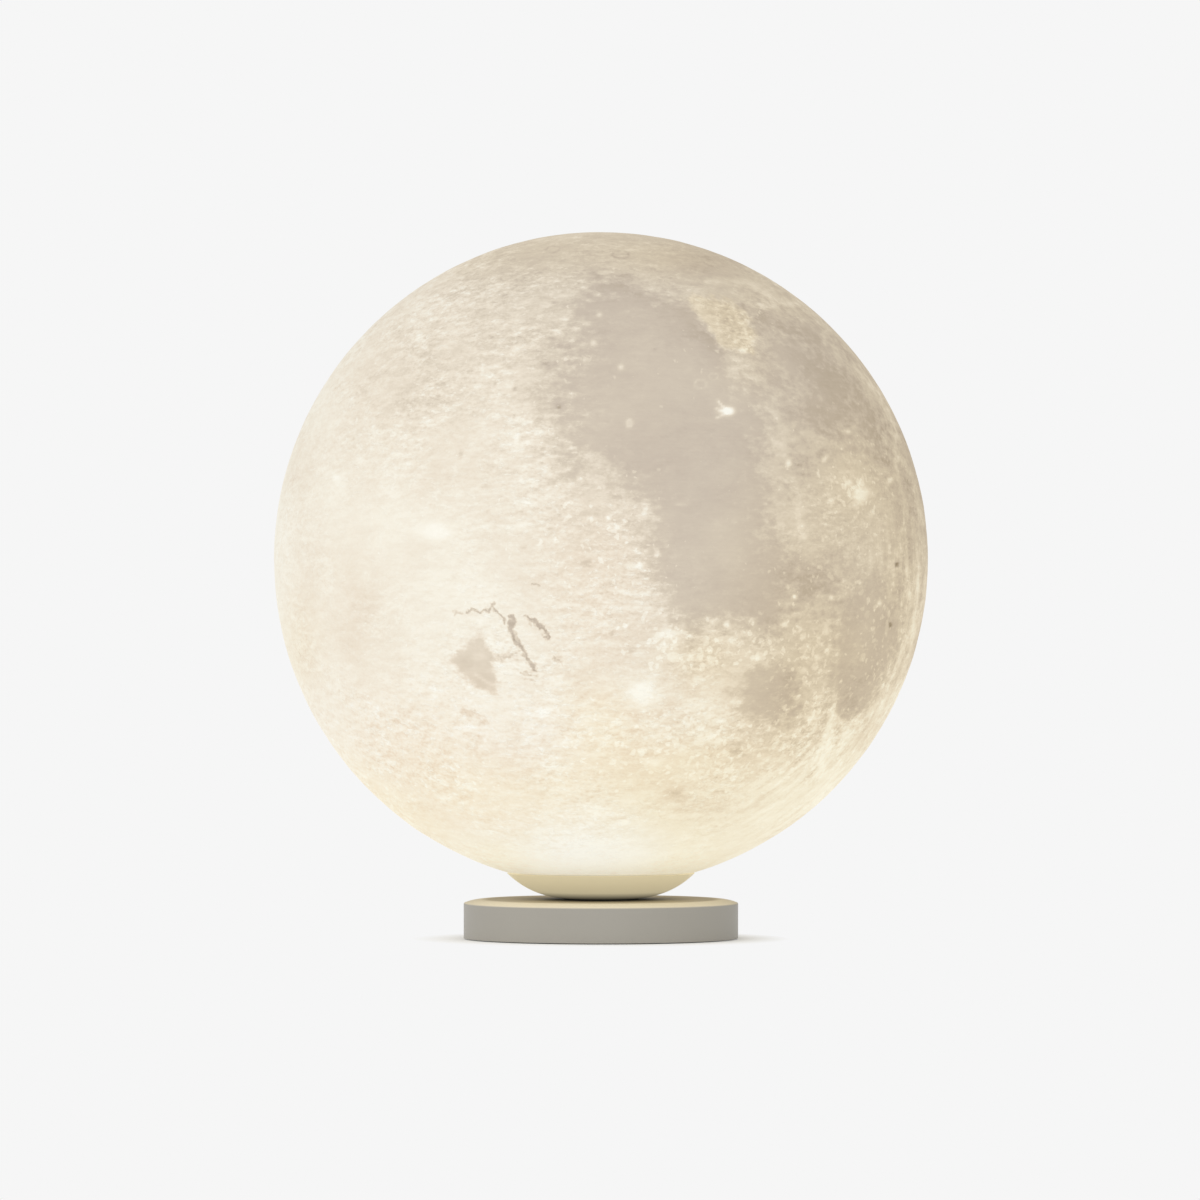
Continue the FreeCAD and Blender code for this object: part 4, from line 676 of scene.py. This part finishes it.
def moon_material():
    """Printed white plastic lit from inside; its shades are mostly the Moon's, with painted relief
    shading and broad falls of light partly painted into the base colour as well as the glow.
    """
    material, tree, body, place = new_material("moon_shell")
    shifted = add(tree, "ShaderNodeVectorMath", place, (0, 0, -CENTRE)).outputs[0]
    spot = add(tree, "ShaderNodeVectorMath", shifted, operation="SCALE")
    spot.inputs["Scale"].default_value = 1 / RADIUS
    spot = spot.outputs[0]
    tone, shore, depth, mark, rough, dotted, warm, peach, brush, facing, seen_u, seen_v = (
        add(tree, "ShaderNodeAttribute", attribute_name=name).outputs["Fac"]
        for name in ("tone", "shore", "depth", "mark", "rough", "dotted", "warm", "peach",
                     "brush", "facing", "seen_u", "seen_v"))

    def centred(scale, detail, gain, stretch, at=spot):
        return calc(tree, "SUBTRACT", speckle(tree, at, scale, detail, gain, stretch), 0.5)

    def scaled(value, *amounts):
        for amount in amounts:
            value = calc(tree, "MULTIPLY", value, amount)
        return value

    coast = centred(9.0, 7.0, 0.68, (1, 1, 1.2))
    chips = centred(30.0, 4.0, 0.6, (1, 1, 1.6))
    waters = calc(tree, "ADD", shore, calc(tree, "ADD", scaled(coast, 6.0), scaled(chips, 4.5)))
    mare = scaled(add(tree, "ShaderNodeMapRange", waters, -1.1, 1.3, 0.0, 1.0,
                      interpolation_type="SMOOTHSTEP").outputs[0], depth)
    broken = remap(tree, speckle(tree, spot, 4.5, 3.0, 0.55), 0.38, 0.62, 0.55, 1.30)
    rough = scaled(rough, broken, calc(tree, "SUBTRACT", 1.0, scaled(mare, 0.78)))

    # painted relief shading: the noise less itself moved towards the top left, so each bump is
    # lighter on one side and darker on the other, as if lit from the top left
    lit = add(tree, "ShaderNodeVectorMath", spot, (-0.0045, 0.0, 0.009)).outputs[0]

    def wrinkles(at):
        crease = calc(tree, "ABSOLUTE", centred(11.0, 4.0, 0.6, (1, 1, 1.7), at))
        return remap(tree, crease, 0.0, 0.035, 1.0, 0.0)

    ground = centred(20.0, 4.0, 0.52, (1, 1, 1.7))
    emboss_shade = calc(tree, "SUBTRACT", centred(20.0, 4.0, 0.52, (1, 1, 1.7), lit), ground)
    fold_emboss_shade = calc(tree, "SUBTRACT", wrinkles(spot), wrinkles(lit))
    grain = speckle(tree, spot, 38.0, 3.0, 0.55, (1, 1, 2.1))
    flecks = remap(tree, grain, 0.56, 0.64)
    strokes = remap(tree, speckle(tree, spot, 15.0, 4.0, 0.62, (1, 1, 2.9)), 0.50, 0.62)
    pits = remap(tree, grain, 0.40, 0.30)
    fine = centred(85.0, 2.0, 0.5, (1, 1, 1.7))
    chunks = remap(tree, speckle(tree, spot, 30.0, 4.0, 0.62, (1, 1, 1.5)), 0.57, 0.65)
    seen = add(tree, "ShaderNodeCombineXYZ", seen_u, seen_v).outputs[0]
    limb = add(tree, "ShaderNodeVectorMath", seen, operation="LENGTH").outputs["Value"]
    turn = calc(tree, "ARCTAN2", seen_v, seen_u)
    strands = add(tree, "ShaderNodeCombineXYZ", scaled(limb, 42.0), scaled(turn, 3.5)).outputs[0]
    strands = scaled(centred(1.6, 4.0, 0.65, None, strands), brush)
    layers = centred(5.0, 4.0, 0.7, (1, 1, 36.0))
    patches = centred(5.5, 5.0, 0.62, (1, 1, 1.3))
    total = calc(tree, "ADD", tone, mark)
    for part in (scaled(mare, -0.190), scaled(emboss_shade, 0.50, rough), scaled(fold_emboss_shade, 0.030, rough),
                 scaled(strokes, 0.095, rough), scaled(flecks, 0.11, rough),
                 scaled(pits, -0.080, rough), scaled(fine, 0.26, rough),
                 scaled(chunks, 0.12, dotted), scaled(strands, 0.80),
                 scaled(patches, 0.20), scaled(coast, 0.06), scaled(layers, 0.050),
                 scaled(bright_dots(tree, spot, 40.0, dotted), 0.15),
                 scaled(bright_dots(tree, spot, 23.0, dotted), 0.12)):
        total = calc(tree, "ADD", total, part)
    bend = add(tree, "ShaderNodeTexNoise", spot)
    bend.inputs["Scale"].default_value = 40.0
    bend.inputs["Detail"].default_value = 3.0
    bend = add(tree, "ShaderNodeVectorMath", bend.outputs["Color"], (-0.5, -0.5, -0.5)).outputs[0]
    bend = add(tree, "ShaderNodeVectorMath", bend, (0.055, 0.055, 0.0), operation="MULTIPLY")
    seen = add(tree, "ShaderNodeVectorMath", seen, bend.outputs[0]).outputs[0]
    total = calc(tree, "SUBTRACT", total, scaled(cracks(tree, seen), facing))

    colour = ramp(tree, total,
                  (0.00, (118, 104, 84)), (0.22, (174, 160, 139)), (0.36, (203, 190, 174)),
                  (0.50, (219, 207, 188)), (0.64, (236, 225, 207)), (0.78, (246, 240, 225)),
                  (1.00, (255, 253, 243)))
    tint = mix_colour(tree, 1.0, colour, shade(255, 250, 236), "MULTIPLY")
    colour = mix_colour(tree, warm, colour, tint)
    tint = mix_colour(tree, 1.0, colour, shade(255, 246, 238), "MULTIPLY")
    peach = scaled(peach, remap(tree, total, 0.95, 0.60, 0.1, 1.0))
    colour = mix_colour(tree, peach, colour, tint)
    diffuse = mix_colour(tree, 1.0, colour, (0.50, 0.50, 0.50, 1), "MULTIPLY")
    height = calc(tree, "ADD", scaled(calc(tree, "ADD", ground, flecks), rough),
                  scaled(layers, 0.25))
    settle(tree, body, Base_Color=diffuse, Roughness=0.62, Specular_IOR_Level=0.25,
           Emission_Color=colour, Emission_Strength=0.50,
           Normal=bump(tree, height, 0.0005, 0.45))
    return material


def plastic(name, colour, rough=0.5, grain=420.0, spread=0.035, depth=0.00004):
    """Moulded or painted surface: faint mottling, uneven gloss and a fine grain."""
    material, tree, body, place = new_material(name)
    wide = speckle(tree, place, 34.0, 4.0, 0.6)
    fine = speckle(tree, place, grain, 3.0, 0.6)
    dark = tuple(part * (1 - 2 * spread) for part in colour[:3]) + (1,)
    light = tuple(min(1, part * (1 + 2 * spread)) for part in colour[:3]) + (1,)
    mottled = mix_colour(tree, wide, dark, light)
    grained = mix_colour(tree, calc(tree, "MULTIPLY", fine, 0.5), mottled, dark)
    settle(tree, body, Base_Color=grained,
           Roughness=remap(tree, wide, 0.3, 0.7, rough - 0.05, rough + 0.05),
           Normal=bump(tree, fine, depth, 0.6))
    return material


def metal(name, colour, rough=0.3, stretch=(1.0, 1.0, 14.0), depth=0.00002):
    """Bare metal with fine brush or turning marks."""
    material, tree, body, place = new_material(name)
    brushed = speckle(tree, place, 240.0, 4.0, 0.65, stretch)
    wide = speckle(tree, place, 40.0, 3.0, 0.6)
    dark = tuple(part * 0.86 for part in colour[:3]) + (1,)
    settle(tree, body, Base_Color=mix_colour(tree, brushed, dark, colour), Metallic=1.0,
           Roughness=remap(tree, calc(tree, "ADD", brushed, wide), 0.6, 1.4,
                           rough - 0.08, rough + 0.1),
           Normal=bump(tree, brushed, depth, 0.5))
    return material


def base_material():
    """Satin warm grey paint on the side; the top is a painted lit copy, lighter and warmer from the
    globe's glow, with a painted highlight on the shoulder and painted shade around the bowl's foot.
    """
    material, tree, body, place = new_material("base_paint")
    wide = speckle(tree, place, 22.0, 4.0, 0.55)
    fine = speckle(tree, place, 900.0, 2.0, 0.5)
    side = mix_colour(tree, wide, shade(162, 158, 149), shade(170, 166, 157))
    # painted highlight: the shoulder paler, where light catches the rounded edge
    shoulder = mix_colour(tree, wide, shade(230, 220, 196), shade(238, 228, 204))
    # painted light: the top is the grey paint lit warm by the globe's glow
    top = mix_colour(tree, wide, shade(184, 172, 146), shade(192, 180, 154))
    across, along, level = add(tree, "ShaderNodeSeparateXYZ", place).outputs
    flat = add(tree, "ShaderNodeCombineXYZ", across, along).outputs[0]
    reach = add(tree, "ShaderNodeVectorMath", flat, operation="LENGTH").outputs["Value"]
    # painted shade: the top darkens towards the bowl's foot
    top = mix_colour(tree, remap(tree, reach, *FOOT_SHADE_REACH), shade(80, 73, 58), top)
    top = mix_colour(tree, remap(tree, reach, *SHOULDER_HIGHLIGHT_REACH), top, shoulder)
    colour = mix_colour(tree, remap(tree, level, *TOP_LEVEL), side, top)
    settle(tree, body, Base_Color=colour, Specular_IOR_Level=0.3,
           Roughness=remap(tree, wide, 0.3, 0.7, 0.38, 0.44),
           Normal=bump(tree, fine, 0.000008, 0.5))
    return material


def bowl_material():
    """Cream plastic; its glow is painted light, an emission standing in for the lamp's light
    showing through it, and painted shade darkens it near its foot.
    """
    material, tree, body, place = new_material("bowl_plastic")
    wide = speckle(tree, place, 40.0, 4.0, 0.6)
    fine = speckle(tree, place, 700.0, 2.0, 0.5)
    colour = mix_colour(tree, wide, shade(223, 211, 176), shade(229, 217, 182))
    level = add(tree, "ShaderNodeSeparateXYZ", place).outputs[2]
    # painted shade: the bowl darkens towards its foot, in its glow as well
    colour = mix_colour(tree, remap(tree, level, *BOWL_FOOT_SHADE_LEVEL), shade(90, 84, 68), colour)
    diffuse = mix_colour(tree, 1.0, colour, (0.55, 0.55, 0.55, 1), "MULTIPLY")
    # painted light: the bowl glows by emission though it is no lamp
    settle(tree, body, Base_Color=diffuse, Roughness=0.42, Specular_IOR_Level=0.4,
           Emission_Color=colour, Emission_Strength=0.50,
           Normal=bump(tree, fine, 0.00001, 0.5))
    return material


def lit_material(name, colour, strength):
    """Part of the light source: pale, even, and lit."""
    material, tree, body, place = new_material(name)
    fine = speckle(tree, place, 300.0, 3.0, 0.6)
    tinted = mix_colour(tree, fine, tuple(part * 0.94 for part in colour[:3]) + (1,), colour)
    settle(tree, body, Base_Color=tinted, Roughness=0.5, Emission_Color=tinted,
           Emission_Strength=strength, Normal=bump(tree, fine, 0.00002, 0.5))
    return material


# the colour and the further values of plastic(), metal() and lit_material(), by slot
PLASTICS = {
    "cream_plastic": (shade(236, 228, 208), 0.5),
    "inner_plastic": (shade(236, 234, 228), 0.45),
    "black_rubber": ((0.020, 0.020, 0.020, 1), 0.7, 700.0, 0.1),
    "white_board": ((0.80, 0.80, 0.78, 1), 0.35, 600.0, 0.02),
    "cover_paint": ((0.040, 0.039, 0.036, 1), 0.6, 900.0, 0.08, 0.0001),
    "foot_rubber": ((0.045, 0.044, 0.042, 1), 0.75, 800.0, 0.1),
    "grey_foam": ((0.09, 0.09, 0.095, 1), 0.9, 1500.0, 0.2, 0.0003),
    "amber_tape": ((0.55, 0.25, 0.03, 1), 0.25, 300.0, 0.06),
    "white_plug": ((0.76, 0.75, 0.68, 1), 0.4, 500.0, 0.03),
    "red_wire": ((0.50, 0.02, 0.015, 1), 0.4, 700.0, 0.08),
    "black_wire": ((0.018, 0.018, 0.018, 1), 0.4, 700.0, 0.1),
    "green_board": ((0.015, 0.13, 0.05, 1), 0.3, 380.0, 0.16),
    "black_chip": ((0.022, 0.022, 0.022, 1), 0.5, 900.0, 0.1),
    "socket_plastic": ((0.015, 0.015, 0.015, 1), 0.4, 900.0, 0.1),
    "switch_plastic": ((0.035, 0.035, 0.035, 1), 0.4, 900.0, 0.1),
    "plunger_plastic": ((0.60, 0.57, 0.48, 1), 0.4, 900.0, 0.04),
    "button_paint": ((0.40, 0.39, 0.35, 1), 0.35, 900.0, 0.02),
    "clear_plastic": ((0.72, 0.76, 0.75, 1), 0.12, 900.0, 0.03),
}
METALS = {
    "spring_steel": ((0.62, 0.61, 0.59, 1), 0.24),
    "rivet_metal": ((0.80, 0.80, 0.81, 1), 0.3, (6, 6, 1)),
    "screw_steel": ((0.66, 0.66, 0.67, 1), 0.28, (5, 5, 1)),
    "spreader_metal": ((0.80, 0.80, 0.82, 1), 0.32, (8, 8, 1)),
    "dark_screw": ((0.10, 0.10, 0.11, 1), 0.35, (5, 5, 1)),
    "ballast_steel": ((0.50, 0.50, 0.49, 1), 0.38, (1, 9, 1)),
    "pouch_foil": ((0.72, 0.73, 0.75, 1), 0.3, (2, 1, 1), 0.0002),
    "socket_steel": ((0.70, 0.70, 0.71, 1), 0.22, (1, 9, 1)),
}
LIT = {
    "chip_phosphor": ((0.95, 0.72, 0.30, 1), 1.6),
    "opal_plastic": ((0.92, 0.86, 0.74, 1), 0.8),
}


def make_materials():
    """All the materials of the CAD nodes, by slot."""
    made = {"bowl_plastic": bowl_material(), "base_paint": base_material()}
    for build, rows in ((plastic, PLASTICS), (metal, METALS), (lit_material, LIT)):
        for name, values in rows.items():
            made[name] = build(name, *values)
    return made


def dress_nodes():
    """Give every CAD node the material of its slot."""
    made = make_materials()
    for part in frame["record"]["subparts"]:
        node = frame["nodes"][part["node"]]
        if part["material_slot"] in made:
            node.data.materials.clear()
            node.data.materials.append(made[part["material_slot"]])


def make_globe():
    globe = bpy.data.objects.new("moon_shell", globe_mesh())
    bpy.context.scene.collection.objects.link(globe)
    globe.data.materials.append(moon_material())
    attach(globe, "globe")
    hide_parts("moon_globe")


# ---------------------------------------------------------------- floor, light and camera

BACKGROUND = shade(246, 246, 246)


def make_floor():
    """Pale level floor; away from the lamp it takes on the colour of the background."""
    bpy.ops.mesh.primitive_circle_add(vertices=128, radius=3.0, fill_type="NGON")
    floor = bpy.context.object
    floor.name = "floor"
    material = bpy.data.materials.new("floor")
    material.use_nodes = True
    tree = material.node_tree
    tree.nodes.clear()
    output = tree.nodes.new("ShaderNodeOutputMaterial")
    place = tree.nodes.new("ShaderNodeTexCoord").outputs["Object"]
    reach = add(tree, "ShaderNodeVectorMath", place, operation="LENGTH").outputs["Value"]
    grain = speckle(tree, place, 60.0, 3.0, 0.5)
    colour = mix_colour(tree, grain, (0.93, 0.93, 0.93, 1), (0.95, 0.95, 0.95, 1))
    near = add(tree, "ShaderNodeBsdfDiffuse", colour).outputs[0]
    far = add(tree, "ShaderNodeEmission", BACKGROUND, 1.0).outputs[0]
    share = remap(tree, reach, *FLOOR_REACH)
    mixed = add(tree, "ShaderNodeMixShader", share, near, far).outputs[0]
    tree.links.new(mixed, output.inputs[0])
    floor.data.materials.append(material)


def make_world():
    """White light, more of it from the front left; seen directly, the pale background. In a
    reflection the room behind the lamp is darker."""
    world = bpy.data.worlds.new("studio")
    bpy.context.scene.world = world
    world.use_nodes = True
    tree = world.node_tree
    tree.nodes.clear()
    output = tree.nodes.new("ShaderNodeOutputWorld")
    path = tree.nodes.new("ShaderNodeLightPath")
    seen = calc(tree, "MAXIMUM", path.outputs["Is Camera Ray"],
                calc(tree, "MAXIMUM", path.outputs["Is Glossy Ray"],
                     path.outputs["Is Transmission Ray"]))
    ray = tree.nodes.new("ShaderNodeTexCoord").outputs["Generated"]
    across, along = add(tree, "ShaderNodeSeparateXYZ", ray).outputs[:2]
    lean = add(tree, "ShaderNodeVectorMath", ray, LIGHT_LEAN, operation="DOT_PRODUCT")
    power = calc(tree, "ADD", lean.outputs["Value"], LIGHT_LEVEL)
    light = add(tree, "ShaderNodeBackground", (1, 1, 1, 1), power).outputs[0]
    behind = calc(tree, "MULTIPLY", remap(tree, along, 0.0, 0.7), path.outputs["Is Glossy Ray"])
    room = mix_colour(tree, remap(tree, across, -0.5, 0.5), (0.45, 0.45, 0.45, 1),
                      (0.10, 0.10, 0.10, 1))
    plain = mix_colour(tree, behind, BACKGROUND, room)
    plain = add(tree, "ShaderNodeBackground", plain, 1.0).outputs[0]
    mixed = add(tree, "ShaderNodeMixShader", seen, light, plain).outputs[0]
    tree.links.new(mixed, output.inputs[0])


def area_light(name, place, aim, size, power):
    data = bpy.data.lights.new(name, "AREA")
    data.shape = "DISK"
    data.size = size
    data.energy = power
    light = bpy.data.objects.new(name, data)
    light.location = place
    light.rotation_euler = (Vector(aim) - Vector(place)).to_track_quat("-Z", "Y").to_euler()
    bpy.context.scene.collection.objects.link(light)


def make_camera():
    data = bpy.data.cameras.new("camera")
    data.sensor_width = 36.0
    data.lens = CAMERA_LENS
    camera = bpy.data.objects.new("camera", data)
    camera.location = (CAMERA_ASIDE, -CAMERA_AWAY, CAMERA_LEVEL)
    camera.rotation_euler = (math.radians(90), 0, 0)
    bpy.context.scene.collection.objects.link(camera)
    bpy.context.scene.camera = camera


dress_nodes()
make_globe()
make_floor()
make_world()
area_light("key", place=(-0.9, -1.5, 1.4), aim=(0, 0, 0.08), size=0.9, power=6.0)
make_camera()
bpy.context.scene.view_settings.view_transform = "Standard"
